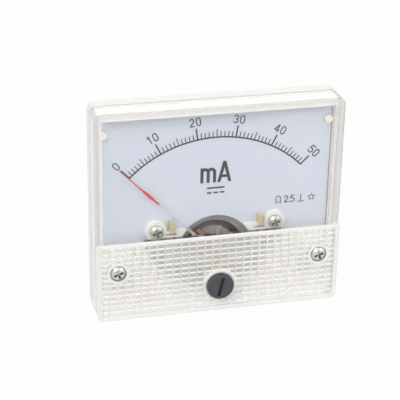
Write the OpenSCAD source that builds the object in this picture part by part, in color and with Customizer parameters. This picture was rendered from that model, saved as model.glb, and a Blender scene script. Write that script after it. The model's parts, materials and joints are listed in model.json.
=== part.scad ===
// Analog panel meter with a moving-coil movement, millimetres.
// X is to the right and Z up as seen from the front; the front faces -Y.
// The origin is the centre of the front, on the back face of the flange,
// which is the face that lies against the panel.

/* [Front] */
// Width of the front
front_w = 64; // [62:0.5:72]
// Height of the front
front_h = 56; // [55:0.5:64]
// Radius of the front's four corners
corner_r = 2; // [1:0.25:3]
// Thickness of the base flange
flange_t = 3.6; // [3:0.1:4.2]
// Distance from the panel to the face of the window
window_depth = 10; // [9.6:0.1:12]
// Height of the patterned lower panel above the window
panel_step = 1.5; // [1.4:0.1:3]
// Height of the ledge above the pivot
ledge_lift = 7.1; // [6.9:0.1:8]
// Wall of the clear cover
cover_wall = 1.6; // [1.2:0.05:1.7]
// Chamfer along the front edges of the cover
edge_cut = 0.4; // [0.1:0.05:0.6]
// Height of the lips that centre the cover on the base
lip_rise = 3; // [1:0.1:4]
// Thickness of the lips
lip_t = 1.3; // [0.8:0.1:1.4]

/* [Lower panel pattern] */
// Width of one moulded cell
cell_w = 2.05; // [1.6:0.05:3]
// Height of one moulded cell
cell_h = 1.5; // [1.2:0.05:3]
// Width of the grooves between cells
groove_w = 0.8; // [0.4:0.05:1]
// Depth of the grooves
groove_depth = 0.35; // [0.1:0.05:0.5]
// Plain margin round the pattern
pattern_margin = 1.1; // [0.8:0.1:3]

/* [Dial] */
// Gap between each side of the dial and the cover
dial_side_gap = 0.6; // [0.3:0.05:1]
// Margin of the dial below its two screws
dial_margin = 3.35; // [2.8:0.05:3.8]
// Thickness of the dial plate
dial_t = 0.5; // [0.3:0.05:0.7]
// Height of the seat that the dial lies on, above the flange
seat_t = 0.6; // [0.4:0.05:0.8]
// Radius of the dial's opening round the movement
cutout_r = 10; // [9.9:0.05:10.2]
// Thickness of the printed marks
print_t = 0.06; // [0.03:0.01:0.1]
// Radius of the locating pins at the dial's sides
locating_pin_r = 1.1; // [0.8:0.05:1.2]
// Drop of the locating pins below the dial's top edge
locating_pin_drop = 3.7; // [3:0.1:10]
// Distance from the scale line out to the middle of the numbers
number_gap = 5; // [4.6:0.1:6]
// Angle from the first mark of the scale to the last
scale_sweep = 90; // [80:1:92]
// Highest number on the scale
scale_max = 50; // [20:10:100]
// Length of the marks at each ten
major_tick = 3.3; // [2.4:0.1:3.5]
// Length of the marks at each five
middle_tick = 2.3; // [1.8:0.1:2.3]
// Length of the marks at each unit
minor_tick = 1.7; // [1:0.1:1.7]
// Width of the scale line and of the marks at each ten
bold_line = 0.36; // [0.2:0.02:0.5]
// Width of the other marks
fine_line = 0.22; // [0.1:0.02:0.3]
// Distance from the dial's top edge down to the numbers' circle
number_edge_gap = 1.8; // [1.6:0.1:2.4]
// Height of the numbers
number_h = 2.3; // [1.6:0.1:2.6]

/* [Drum] */
// Diameter of the drum that passes through the panel
drum_d = 41; // [40.5:0.5:44]
// Length of the drum behind the panel
drum_len = 32; // [31:0.5:33]
// Drop of the drum's axis below the centre of the front
drum_drop = 5.6; // [5.4:0.1:6]
// Wall of the drum
drum_wall = 1.4; // [1:0.05:1.5]
// Thickness of the drum's back
back_t = 2; // [1.5:0.1:3]

/* [Mounting] */
// Distance of the mounting studs from the sides of the front
stud_inset_x = 7; // [6.5:0.25:8]
// Distance of the mounting studs from the top and bottom of the front
stud_inset_z = 8; // [7.5:0.25:9]
// Diameter of the mounting studs
stud_d = 3; // [2.5:0.5:3]
// Length of the mounting studs behind the panel face
stud_len = 12; // [8:0.5:20]

/* [Terminals] */
// Distance between the terminals
terminal_pitch = 25; // [21:0.5:28]
// Diameter of the terminal studs
terminal_d = 4; // [3:0.5:5]
// Length of the terminal studs behind the drum
terminal_len = 12; // [11.5:0.5:20]

/* [Movement] */
// Gap between the iron ring and the bore of the drum
yoke_wall_gap = 1.4; // [1.3:0.05:1.6]
// Radius of the core magnet
core_r = 6; // [5:0.1:6]
// Length of the core magnet
core_len = 11; // [8:0.5:12]
// Outer radius of the iron ring
yoke_ro = 9.8; // [9.6:0.05:9.8]
// Inner radius of the iron ring
yoke_ri = 8; // [8:0.05:8.3]
// Gap between core and coil former
core_gap = 0.4; // [0.3:0.05:0.45]
// Thickness of the coil former
former_t = 0.25; // [0.15:0.05:0.3]
// Depth of the winding
winding_t = 0.9; // [0.5:0.05:0.9]
// Width of the winding
winding_w = 3.2; // [2:0.1:3.3]
// Thickness of the movement frame
frame_t = 3; // [2:0.1:5]
// Thickness of the bridges
bridge_t = 1; // [0.8:0.05:1]
// Radius of the pivot shafts
shaft_r = 0.35; // [0.25:0.05:0.4]
// Radius of the jewel screws
jewel_screw_r = 1.2; // [1:0.05:1.3]

/* [Pointer] */
// Height of the pointer above the dial
pointer_rise = 1.5; // [1.4:0.05:1.6]
// Distance that the pointer's tip reaches past the scale line
pointer_reach = 4.3; // [1:0.1:4.6]
// Thickness of the pointer's blade
blade_t = 0.3; // [0.1:0.05:0.3]
// Length of the pointer's balance arms
balance_arm = 5.6; // [5:0.1:6.5]

/* [Zero adjuster] */
// Drop of the zero adjuster below the pivot
adjuster_drop = 7; // [6.8:0.1:7.3]
// Radius of the zero adjuster's head
adjuster_r = 3.5; // [2.8:0.1:3.8]
// Height of the zero adjuster above the lower panel
adjuster_rise = 1.4; // [1:0.1:2.5]
// Angle of the zero adjuster's slot from upright
slot_angle = 13; // [0:1:90]
// Distance of the cam pin from the adjuster's axis
cam_throw = 1.2; // [0.8:0.05:1.3]

/* [Screws] */
// Distance of the cover screws from the sides of the front
cover_screw_inset = 5.5; // [5:0.1:5.6]
// Height of the cover screws above the lower mounting studs
cover_screw_lift = 5.5; // [5:0.1:6.5]
// Radius of the cover screws' heads
cover_head_r = 1.9; // [1.6:0.05:2]
// Distance between the dial screws
dial_screw_pitch = 31.4; // [31:0.1:33]
// Height of the dial screws above the pivot
dial_screw_lift = 7.35; // [7.2:0.05:7.6]
// Radius of the dial screws' heads
dial_head_r = 1.8; // [1.4:0.05:1.9]

/* [Hidden] */
$fn = 64;

// Clearances
fit_gap = 0.03;      // a part that sits tight in its hole
run_gap = 0.06;      // a part that turns in its hole
slip_gap = 0.2;      // a part that is put in by hand
bite = 0.3;          // overlap that joins two shapes of one solid

// Planes along Y, from the panel to the front
y_flange = -flange_t;
y_seat = y_flange - seat_t;
y_dial = y_seat - dial_t;
y_window = -window_depth;
y_window_in = y_window + cover_wall;
y_panel = y_window - panel_step;
y_panel_in = y_panel + cover_wall;
drum_ro = drum_d / 2;
drum_ri = drum_ro - drum_wall;
z_drum = -drum_drop;
pivot_drop = drum_drop + drum_ri - yoke_wall_gap - yoke_ro;
z_pivot = -pivot_drop;
ledge_drop = pivot_drop - ledge_lift;
z_ledge = -ledge_drop;

// Base
drum_cut = 0.8;
y_back_in = drum_len - back_t;
cover_in_w = front_w - 2 * cover_wall;
cover_in_h = front_h - 2 * cover_wall;
seat_w = cover_in_w - 1;
seat_h = cover_in_h - 2 * slip_gap - 2 * lip_t;
stud_pitch_x = front_w - 2 * stud_inset_x;
stud_pitch_z = front_h - 2 * stud_inset_z;
cover_screw_pitch = front_w - 2 * cover_screw_inset;
lip_inset = 3;
lip_w = front_w - 2 * lip_inset;
dial_w = cover_in_w - 2 * dial_side_gap;
dial_rise = cover_in_h / 2 - lip_t - 2 * slip_gap;
locating_pin_z = dial_rise - locating_pin_drop;
number_r = dial_rise + pivot_drop - number_edge_gap;
scale_r = number_r - number_gap;
pointer_len = scale_r + pointer_reach;
cover_screw_drop = stud_pitch_z / 2 - cover_screw_lift;
locating_pin_x = cover_in_w / 2 - slip_gap - locating_pin_r;
locating_pin_rise = 1.3;
pin_notch_gap = 0.1;

// Mounting hardware
stud_r = stud_d / 2;
stud_neck_r = stud_r + 0.35;
stud_neck_set = 0.1;
stud_head_r = stud_r + 1.25;
stud_head_t = 1.4;
stud_head_cover = 0.3;
cover_shank_r = 1;
cover_head_t = 1.3;
cover_head_proud = 0.45;
cover_recess_gap = 0.25;
cover_boss_r = 2.9;
cover_hole_floor = 0.6;

// Terminals
terminal_r = terminal_d / 2;
terminal_nut_r = terminal_d * 1.01;
terminal_nut_t = terminal_d * 0.8;
terminal_head_t = 2.4;
terminal_washer_r = terminal_r + 2.5;
terminal_washer_t = 0.8;
terminal_nut_gap = 0.1;
lug_t = 0.6;
sign_rise = 0.4;
sign_l = 4;
sign_w = 0.9;

// Movement, front to back
yoke_set = 1.5;
yoke_over = 0.4;
end_gap = 0.6;
y_core = y_dial + yoke_set + yoke_over;
y_core_end = y_core + core_len;
y_yoke = y_dial + yoke_set;
y_yoke_end = y_core_end + yoke_over + slip_gap;
y_former = y_core - end_gap;
y_former_end = y_core_end + end_gap;
y_coil = y_former - former_t - winding_t;
y_coil_end = y_former_end + former_t + winding_t;
former_r = core_r + core_gap;
winding_ri = former_r + former_t;
former_lip = 0.4;
spacer_w = 3.8;

y_pointer = y_dial - pointer_rise;
pointer_back = y_pointer + blade_t / 2;
pivot_base_r = 1.3;
pivot_base_t = 0.4;
hub_r = 0.95;
spring_w = 0.3;
spring_t = 0.12;
spring_turns = 4.5;
spring_ri = 0.84;
spring_ro = 3.95;
collet_r = 0.75;
collet_t = 0.6;
y_spring = y_pointer - 0.8;
y_spring_end = y_coil_end + 1.25;

// Bridges, jewel screws, lever and spring tag
bridge_lift = 1.4;
y_bridge = y_pointer - bridge_lift - bridge_t;
y_bridge_back = y_bridge + bridge_t;
y_rear_bridge = y_coil_end + 2.25;
y_rear_bridge_end = y_rear_bridge + bridge_t;
bridge_h = 4;
leg_x = yoke_ri + 0.1;
leg_w = yoke_ro - yoke_ri - 0.3;
leg_h = 3.2;
bridge_screw_r = 0.5;
bridge_head_r = 0.75;
bridge_head_t = 0.5;
bridge_screw_bite = 2.5;
bridge_screw_x = leg_x + leg_w / 2;
lever_t = 0.4;
lever_gap = 0.05;
y_lever_back = y_bridge - lever_gap;
y_lever = y_lever_back - lever_t;
locknut_t = 0.5;
locknut_r = 2.2;
jewel_tail = 0.1;
jewel_nose = 0.15;
jewel_r = 0.7;
jewel_t = 0.7;
shaft_bite = 0.5;
lever_ring_r = 2.3;
lever_arm_w = 1.4;
tag_r = spring_ro + 0.25;
tag_t = 0.4;
lever_tip_r = 8.1;
lever_tip_w = 0.9;
fork_w = 3;
cam_pin_r = 0.5;
cam_pin_gap = 0.08;
cam_gap = 0.1;
cam_r = 2.3;
fork_r = adjuster_drop - cam_throw;
neck_r = 1.6;
adjuster_slot_w = 0.85;
adjuster_slot_depth = 0.8;
adjuster_slot_l = 0.74;
adjuster_ring_r = adjuster_r + 0.7;
adjuster_lift = 0.15;
z_adjuster = z_pivot - adjuster_drop;

// Movement frame
frame_set = 2;
y_frame = y_yoke + frame_set;
y_frame_end = y_frame + frame_t;
frame_rim = 3;
frame_gap = 0.5;
frame_bar_w = 2 * (drum_ri - 3);
frame_bar_rise = 5;
frame_cut = 5.5;
ear_r = 2.8;
frame_screw_inset = 4.9;
frame_screw_x = drum_ri - frame_screw_inset;
frame_screw_z = z_pivot + 1.7;
frame_screw_r = 1;
frame_head_r = 1.9;
frame_head_t = 1.3;
frame_screw_bite = 7;
post_r = 2.4;
post_len = 12;

// Stop arms and posts
stop_boss_r = 2.8;
stop_boss_t = 1.2;
stop_arm_t = 1;
stop_arm_z = z_pivot + 7.2;
stop_arm_h = 2.5;
stop_arm_gap = 0.3;
stop_slot_l = 2.6;
stop_slot_h = 0.5;
stop_post_w = 1.3;
stop_post_h = 2.4;
stop_post_y = y_pointer - blade_t / 2 - 0.5;
stop_angle = 4.1;
dial_shank_r = 0.9;
dial_head_t = 1.2;
dial_screw_x = dial_screw_pitch / 2;
z_dial_screw = z_pivot + dial_screw_lift;
dial_fall = dial_margin - z_dial_screw;

// Balance
arm_wire_r = 0.2;
y_balance = pointer_back + arm_wire_r;
weight_r = 0.5;
weight_l = 1.3;

// Pointer, as distances from the pivot
foot_w = 0.8;
foot_end = 11;
wire_r = 0.17;
wire_end = pointer_len - 14.4;
lance_start = pointer_len - 11.8;
lance_end = pointer_len - 7.6;
neck_w = 0.45;
lance_w = 0.85;
needle_w = 0.32;
tip_w = 0.16;
rest_angle = -scale_sweep / 2;

// Shunt
bobbin_r = 3.4;
bobbin_core_r = 2;
bobbin_flange_t = 1;
shunt_r = 2.8;
shunt_z = 8;
shunt_drop = 5.4;
bobbin_gap = 0.1;
bobbin_pin_r = 0.45;
y_shunt = y_back_in - shunt_drop;
lug_ring_r = terminal_r + 2.1;
lug_strip_w = 3;
tab_x = terminal_pitch / 2 - lug_strip_w / 2;
bobbin_len = 2 * (tab_x - bobbin_gap);

// Leads, routes chosen by hand between the soldered ends
lead_r = 0.45;
wire_sides = 16;
joint_gap = lead_r + 0.1;
lug_tail = lug_ring_r + 2.4;
y_lug_joint = y_back_in - lug_t - joint_gap;
z_lug_joint = z_drum + 0.8 - lug_tail;
front_joint = [leg_x + leg_w + joint_gap, y_yoke - 0.8, z_pivot];
rear_joint = [0, y_rear_bridge_end + lever_gap + lever_t + joint_gap, z_pivot + 4];
positive_route = [front_joint, [12.2, y_yoke, z_pivot - 2.1],
    [12.9, y_yoke + 1.2, z_pivot - 4.4], [13, y_yoke + 2.6, z_pivot - 5],
    [13, y_frame_end + 4, z_pivot - 5.2], [15, 22, -13],
    [terminal_pitch / 2, y_lug_joint, z_lug_joint]];
negative_route = [rear_joint, [-4, 19, -8], [-10, 24, -9],
    [-terminal_pitch / 2, y_lug_joint, z_lug_joint]];

// Digits drawn in a box one unit high, centred on the origin
digit_w = 0.56;
digit_pitch = 0.74;
digit_line = 0.12;
y_stud_seat = y_seat + stud_head_cover + stud_head_t;
pattern_w = front_w - 2 * pattern_margin;
pattern_top = z_ledge - pattern_margin / 2;
pattern_bottom = -front_h / 2 + pattern_margin;
columns = floor(pattern_w / cell_w);
rows = floor((pattern_top - pattern_bottom) / cell_h);
pattern_mid = (pattern_top + pattern_bottom) / 2;
y_cover_seat = y_panel + cover_head_t - cover_head_proud;
// The unit and the direct-current sign under the scale
unit_base = z_pivot + 19.25;
small_h = 4.1;
capital_h = 5.7;
stem_w = 0.8;
small_w = 4.1;
capital_w = 3.7;
letter_gap = 0.35;
dc_w = 4.6;
dc_line = 0.42;
dc_z = z_pivot + 17.75;
dc_pitch = 1.35;
dash_gap = 0.5;
// Moving-coil sign, accuracy, upright-use sign and a plain star
symbol_z = z_dial_screw + 5.47;
symbol_h = 2;
symbol_line = 0.2;
symbol_inset = 4;
star_x = dial_w / 2 - symbol_inset;
upright_x = star_x - 2.9;
accuracy_x = upright_x - 3.1;
magnet_x = accuracy_x - 3;
star_r = 1.15;
// Each post stands just outside the pointer's end position
stop_limit = scale_sweep / 2 + stop_angle;
stop_post_x = (stop_arm_z + stop_post_h - z_pivot) * tan(stop_limit);
// A jewel screw, drawn for the front: slotted end forward, jewel seat behind
jewel_screw_len = locknut_t + lever_t + 2 * lever_gap + bridge_t + jewel_tail + jewel_nose;
y_jewel_end = y_bridge_back + jewel_tail;
y_rear_jewel = y_rear_bridge - jewel_tail;
// Arms for the balance weights: one behind the pointer and one to each side
balance_dirs = [90, 180, 270];
y_tag = y_rear_bridge_end + lever_gap;
y_tag_end = y_tag + lever_t;
y_tail = y_spring - spring_w / 2 - 0.35;
y_adjuster = y_panel - adjuster_rise;
y_cam = y_panel_in + cam_gap;
y_cam_back = y_lever - 0.15;
y_outer_washer = drum_len + terminal_washer_t + terminal_nut_t + terminal_nut_gap;

// ---- helpers ----

// A flat shape drawn as seen from the front, from plane y0 back to plane y1
module slab(y0, y1) {
    translate([0, y1, 0]) rotate([90, 0, 0]) linear_extrude(y1 - y0) children();
}

module rod(r, y0, y1) { slab(y0, y1) circle(r); }

module at_pivot() { translate([0, 0, z_pivot]) children(); }

module at_drum() { translate([0, 0, z_drum]) children(); }

// Turned clockwise as seen from the front, about the pivot
module swung(angle) { at_pivot() rotate([0, angle, 0]) children(); }

module both_sides(x) {
    for (side = [-1, 1]) translate([side * x, 0, 0]) children();
}

module four_corners(x, z) {
    for (sx = [-1, 1], sz = [-1, 1]) translate([sx * x, 0, sz * z]) children();
}

module rounded_rect(w, h, r) {
    square([w - 2 * r, h], center = true);
    square([w, h - 2 * r], center = true);
    for (sx = [-1, 1], sz = [-1, 1])
        translate([sx * (w / 2 - r), sz * (h / 2 - r)]) circle(r);
}

module centred_bar(w, h) { square([w, h], center = true); }

// A turned shape about the Y axis: points are radius and distance to the front
module turned(points) { rotate([90, 0, 0]) rotate_extrude() polygon(points); }

// A pan-head screw: head under side at y = 0, head to the front, shank behind
module cross_screw(head_r, head_t, shank_r, shank_len) {
    crown_r = head_r * 0.66;
    cross_l = head_r * 1.3;
    cross_w = head_r * 0.28;
    difference() {
        union() {
            turned([[0, 0], [head_r, 0], [head_r, head_t * 0.55],
                [crown_r, head_t], [0, head_t]]);
            rod(shank_r, -bite, shank_len);
        }
        slab(-head_t - bite, -head_t * 0.35) rotate(20) {
            centred_bar(cross_l, cross_w);
            centred_bar(cross_w, cross_l);
        }
    }
}

module nut(r, bore_r, y0, y1) {
    slab(y0, y1) difference() {
        circle(r, $fn = 6);
        circle(bore_r);
    }
}

module washer(r, bore_r, y0, y1) {
    slab(y0, y1) difference() {
        circle(r);
        circle(bore_r);
    }
}

// A stroke with round ends between two points
module stroke(p, q, w) {
    d = q - p;
    translate(p) circle(w / 2, $fn = 16);
    translate(q) circle(w / 2, $fn = 16);
    translate(p) rotate(atan2(d[1], d[0])) translate([0, -w / 2]) square([norm(d), w]);
}

// An arc stroke about a point, from angle a0 anticlockwise to angle a1
module arc_stroke(c, r, a0, a1, w) {
    reach = 2 * (r + w);
    steps = ceil((a1 - a0) / 60);
    translate(c) intersection() {
        difference() {
            circle(r + w / 2, $fn = 40);
            circle(r - w / 2, $fn = 40);
        }
        polygon([[0, 0], for (i = [0:steps])
            reach * [cos(a0 + (a1 - a0) * i / steps), sin(a0 + (a1 - a0) * i / steps)]]);
    }
}

module digit(n) {
    t = digit_line;
    r = (digit_w - t) / 2;
    top = (1 - t) / 2;
    if (n == 0) {
        arc_stroke([0, top - r], r, 0, 180, t);
        arc_stroke([0, r - top], r, 180, 360, t);
        for (s = [-1, 1]) stroke([s * r, top - r], [s * r, r - top], t);
    }
    if (n == 1) {
        stroke([0.06, top], [0.06, -top], t);
        stroke([0.06, top], [-0.16, top - 0.2], t);
    }
    if (n == 2) {
        arc_stroke([0, top - r], r, -40, 180, t);
        stroke([r * cos(40), top - r - r * sin(40)], [-r, -top], t);
        stroke([-r, -top], [r, -top], t);
    }
    if (n == 3) {
        q = top / 2;
        arc_stroke([0, q], q, -90, 165, t);
        arc_stroke([0, -q], q, -165, 90, t);
    }
    if (n == 4) {
        stroke([0.1, top], [-r - 0.03, -0.22], t);
        stroke([-r - 0.03, -0.22], [r + 0.03, -0.22], t);
        stroke([0.1, top], [0.1, -top], t);
    }
    if (n == 5) {
        bowl = 0.27;
        stroke([-0.17, top], [r, top], t);
        stroke([-0.17, top], [-0.21, 0.06], t);
        arc_stroke([-0.02, bowl - top], bowl, -160, 138, t);
    }
}

module number(text_digits, h) {
    count = len(text_digits);
    for (i = [0:count - 1])
        translate([(i - (count - 1) / 2) * digit_pitch * h, 0]) scale(h)
            digit(text_digits[i]);
}

function digits_of(v) = v < 10 ? [v] : concat(digits_of(floor(v / 10)), [v % 10]);
function mark_angle(v) = rest_angle + scale_sweep * v / scale_max;

// A thin printed layer on the dial
module printed() { slab(y_dial - print_t, y_dial) children(); }

// The letters' own frame: a shape set out about the pivot
module about_pivot() { translate([0, z_pivot]) children(); }

// A hairspring: a flat strip wound in a spiral, its outer end at the top
function spiral_r(i, n, off) = spring_ri + (spring_ro - spring_ri) * i / n + off;
function spiral_a(i, n) = 90 + 360 * spring_turns * (1 - i / n);
module hairspring(y) {
    n = ceil(spring_turns * 20);
    slab(y - spring_w / 2, y + spring_w / 2) polygon(concat(
        [for (i = [0:n]) spiral_r(i, n, spring_t / 2) * [cos(spiral_a(i, n)),
            sin(spiral_a(i, n))]],
        [for (i = [n:-1:0]) spiral_r(i, n, -spring_t / 2) * [cos(spiral_a(i, n)),
            sin(spiral_a(i, n))]]));
}

// An insulated wire along a route: a tube of flat sides, mitred at each bend
function heading(route, i) = (route[i + 1] - route[i]) / norm(route[i + 1] - route[i]);
function mitre(route, i) = i == len(route) - 1 ? heading(route, i - 1)
    : heading(route, i - 1) + heading(route, i);
function wire_ring(route, r, i) = i == 0
    ? let (d = heading(route, 0), e = cross(d, [0, 0, 1]) / norm(cross(d, [0, 0, 1])))
        [for (k = [0:wire_sides - 1]) let (a = 360 * k / wire_sides)
            route[0] + r * (cos(a) * e + sin(a) * cross(d, e))]
    : let (d = heading(route, i - 1), n = mitre(route, i))
        [for (p = wire_ring(route, r, i - 1)) p + d * (((route[i] - p) * n) / (d * n))];

module wire(route, r) {
    last = len(route) - 1;
    points = [for (i = [0:last], p = wire_ring(route, r, i)) p];
    sides = [for (i = [0:last - 1], k = [0:wire_sides - 1]) let (n = (k + 1) % wire_sides)
        [i * wire_sides + k, (i + 1) * wire_sides + k,
            (i + 1) * wire_sides + n, i * wire_sides + n]];
    near_end = [for (k = [0:wire_sides - 1]) k];
    far_end = [for (k = [wire_sides - 1:-1:0]) last * wire_sides + k];
    polyhedron(points, concat(sides, [near_end, far_end]));
}

// ---- housing ----

module sign_bar() { centred_bar(sign_l, sign_w); }

module base_housing() {
    color("ivory") difference() {
        union() {
            slab(y_flange, 0) rounded_rect(front_w, front_h, corner_r);
            slab(y_seat, y_flange + bite) centred_bar(seat_w, seat_h);
            at_drum() rotate([-90, 0, 0]) rotate_extrude() polygon([[0, -bite], [drum_ro, -bite],
                [drum_ro, drum_len - drum_cut], [drum_ro - drum_cut, drum_len],
                [0, drum_len]]);
            for (s = [-1, 1]) slab(y_flange - lip_rise, y_flange + bite)
                translate([0, s * (cover_in_h / 2 - slip_gap - lip_t / 2)])
                    centred_bar(lip_w, lip_t);
            both_sides(locating_pin_x)
                translate([0, 0, locating_pin_z])
                    rod(locating_pin_r, y_seat - locating_pin_rise, y_seat + bite);
            at_drum() translate([terminal_pitch / 2, 0, terminal_washer_r + sign_l])
                slab(drum_len - bite, drum_len + sign_rise) {
                    sign_bar();
                    rotate(90) sign_bar();
                }
            at_drum() translate([-terminal_pitch / 2, 0, terminal_washer_r + sign_l])
                slab(drum_len - bite, drum_len + sign_rise) sign_bar();
        }
        difference() {
            at_drum() rod(drum_ri, y_seat - bite, y_back_in);
            both_sides(frame_screw_x) translate([0, 0, frame_screw_z])
                rod(post_r, y_frame_end, y_frame_end + post_len);
            mirror([1, 0, 0]) post_web();
            post_web();
        }
        both_sides(frame_screw_x) translate([0, 0, frame_screw_z])
            rod(frame_screw_r + fit_gap, y_frame_end - bite,
                y_frame_end + frame_screw_bite + slip_gap);
        four_corners(stud_pitch_x / 2, stud_pitch_z / 2) {
            rod(stud_neck_r + fit_gap, y_seat - bite, bite);
            rod(stud_head_r + fit_gap, y_seat - bite, y_stud_seat);
        }
        both_sides(cover_screw_pitch / 2) translate([0, 0, -cover_screw_drop])
            rod(cover_shank_r + fit_gap, y_seat - bite, -cover_hole_floor);
        at_drum() both_sides(terminal_pitch / 2)
            rod(terminal_r + fit_gap, y_back_in - bite, drum_len + bite);
    }
}

// Joins a screw post to the wall of the drum
module post_web() {
    translate([frame_screw_x, 0, frame_screw_z])
        slab(y_frame_end, y_frame_end + post_len)
            translate([0, -post_r]) square([drum_ri, 2 * post_r]);
}

// Prisms whose crossing leaves rows of flat-topped cells
function ridge_points(pitch, first, count) = [for (i = [0:count])
    for (p = [[first + i * pitch - (pitch - groove_w) / 2, y_panel],
        [first + i * pitch + (pitch - groove_w) / 2, y_panel],
        if (i < count) [first + (i + 0.5) * pitch, y_panel + groove_depth]]) p];

module ridged(pitch, first, count) {
    end = first + count * pitch + (pitch - groove_w) / 2;
    start = first - (pitch - groove_w) / 2;
    linear_extrude(2 * front_w, center = true) polygon(concat(
        ridge_points(pitch, first, count),
        [[end + groove_w / 2, y_panel + groove_depth],
        [end + groove_w / 2, y_panel + groove_depth + bite],
        [start - groove_w / 2, y_panel + groove_depth + bite],
        [start - groove_w / 2, y_panel + groove_depth]]));
}

module pattern() {
    intersection() {
        ridged(cell_w, -(columns - 1) * cell_w / 2, columns - 1);
        translate([0, 0, pattern_mid]) rotate([0, -90, 0])
            ridged(cell_h, -(rows - 1) * cell_h / 2, rows - 1);
    }
}

// The body of the clear cover before it is hollowed and drilled
module cover_body() {
    difference() {
        slab(y_panel, y_flange) rounded_rect(front_w, front_h, corner_r);
        translate([-front_w, y_panel - bite, z_ledge])
            cube([2 * front_w, panel_step + bite, front_h]);
        translate([0, y_panel - bite, pattern_mid]) rotate([-90, 0, 0])
            linear_extrude(groove_depth + bite)
                centred_bar(columns * cell_w, rows * cell_h);
        for (s = [-1, 1]) translate([s * front_w / 2, y_window, 0]) rotate([0, 0, 45])
            cube([edge_cut * sqrt(2), edge_cut * sqrt(2), 2 * front_h], center = true);
        for (s = [-1, 1]) translate([s * front_w / 2, y_panel, -front_h / 2])
            rotate([0, 0, 45]) cube([edge_cut * sqrt(2), edge_cut * sqrt(2),
                2 * (front_h / 2 - ledge_drop)], center = true);
        translate([0, y_window, front_h / 2]) rotate([45, 0, 0])
            cube([2 * front_w, edge_cut * sqrt(2), edge_cut * sqrt(2)], center = true);
        for (z = [z_ledge, -front_h / 2]) translate([0, y_panel, z]) rotate([45, 0, 0])
            cube([2 * front_w, edge_cut * sqrt(2), edge_cut * sqrt(2)], center = true);
    }
    pattern();
}

module front_cover() {
    color([0.92, 0.93, 0.92, 0.4]) difference() {
        union() {
            difference() {
                cover_body();
                slab(y_window_in, y_flange + bite) centred_bar(cover_in_w, cover_in_h);
                slab(y_panel_in, y_window_in + bite)
                    translate([-cover_in_w / 2, -cover_in_h / 2])
                        square([cover_in_w, cover_in_h / 2 - ledge_drop - cover_wall]);
            }
            both_sides(cover_screw_pitch / 2) translate([0, 0, -cover_screw_drop]) {
                rod(cover_boss_r, y_panel_in - bite, y_seat);
                rod(cover_boss_r, y_panel, y_panel_in);
            }
            translate([0, 0, z_adjuster]) rod(adjuster_ring_r, y_panel, y_panel_in);
        }
        both_sides(cover_screw_pitch / 2) translate([0, 0, -cover_screw_drop]) {
            rod(cover_shank_r + slip_gap, y_panel - bite, y_flange + bite);
            rod(cover_head_r + cover_recess_gap, y_panel - bite, y_cover_seat);
        }
        translate([0, 0, z_adjuster])
            rod(neck_r + run_gap, y_panel - bite, y_panel_in + bite);
    }
}

module cover_screws() {
    color("silver") both_sides(cover_screw_pitch / 2)
        translate([0, y_cover_seat, -cover_screw_drop])
            cross_screw(cover_head_r, cover_head_t, cover_shank_r,
                -cover_hole_floor - slip_gap - y_cover_seat);
}

// ---- dial ----

module dial_plate() {
    color([0.86, 0.87, 0.93]) slab(y_dial, y_seat) difference() {
        translate([-dial_w / 2, -dial_fall]) square([dial_w, dial_rise + dial_fall]);
        about_pivot() circle(cutout_r);
        for (s = [-1, 1]) {
            translate([s * locating_pin_x, locating_pin_z])
                circle(locating_pin_r + pin_notch_gap);
            translate([s * dial_screw_x, z_dial_screw]) circle(dial_shank_r + slip_gap);
        }
    }
}

module tick(v, l, w) {
    rotate(-mark_angle(v)) translate([-w / 2, scale_r]) square([w, l]);
}

module scale_ticks() {
    color([0.2, 0.2, 0.22]) printed() about_pivot() {
        arc_stroke([0, 0], scale_r + bold_line / 2, 90 - scale_sweep / 2,
            90 + scale_sweep / 2, bold_line);
        for (v = [0:scale_max]) {
            if (v % 10 == 0) tick(v, major_tick, bold_line);
            else if (v % 5 == 0) tick(v, middle_tick, fine_line);
            else tick(v, minor_tick, fine_line);
        }
    }
}

module scale_numbers() {
    color([0.2, 0.2, 0.22]) printed() about_pivot()
        for (v = [0:10:scale_max]) rotate(-mark_angle(v)) translate([0, number_r])
            number(digits_of(v), number_h);
}

module letter_m() {
    step = (small_w - stem_w) / 2;
    r = (step + stem_w) / 2;
    for (i = [0:2]) translate([i * step, 0]) square([stem_w, small_h - (i == 0 ? 0 : r)]);
    for (i = [0:1]) translate([i * step + r, small_h - r]) intersection() {
        difference() {
            circle(r, $fn = 32);
            circle(r - stem_w, $fn = 32);
        }
        translate([-r, 0]) square([2 * r, r]);
    }
}

module letter_a() {
    half = capital_w / 2;
    lean = (half - stem_w / 2) / capital_h;
    bar_z = capital_h * 0.22;
    bar_top = bar_z + stem_w * 0.9;
    function inside(z) = half - stem_w * norm([1, lean]) - z * lean;
    difference() {
        polygon([[0, 0], [half - stem_w / 2, capital_h], [half + stem_w / 2, capital_h],
            [capital_w, 0]]);
        polygon([[half - inside(0), 0], [half - inside(0), -bite],
            [half + inside(0), -bite], [half + inside(0), 0],
            [half + inside(bar_z), bar_z], [half - inside(bar_z), bar_z]]);
        polygon([[half - inside(bar_top), bar_top], [half + inside(bar_top), bar_top],
            [half, inside(0) / lean]]);
    }
}

module unit_marks() {
    dash_w = (dc_w - 2 * dash_gap) / 3;
    color([0.25, 0.25, 0.27]) printed() {
        translate([-small_w, unit_base]) letter_m();
        translate([letter_gap, unit_base]) letter_a();
        translate([0, dc_z]) centred_bar(dc_w, dc_line);
        for (i = [-1:1]) translate([i * (dash_w + dash_gap), dc_z - dc_pitch])
            centred_bar(dash_w, dc_line);
    }
}

module star(r) {
    polygon([for (i = [0:9]) (i % 2 == 0 ? r : r * 0.45) * [sin(36 * i), cos(36 * i)]]);
}

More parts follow.
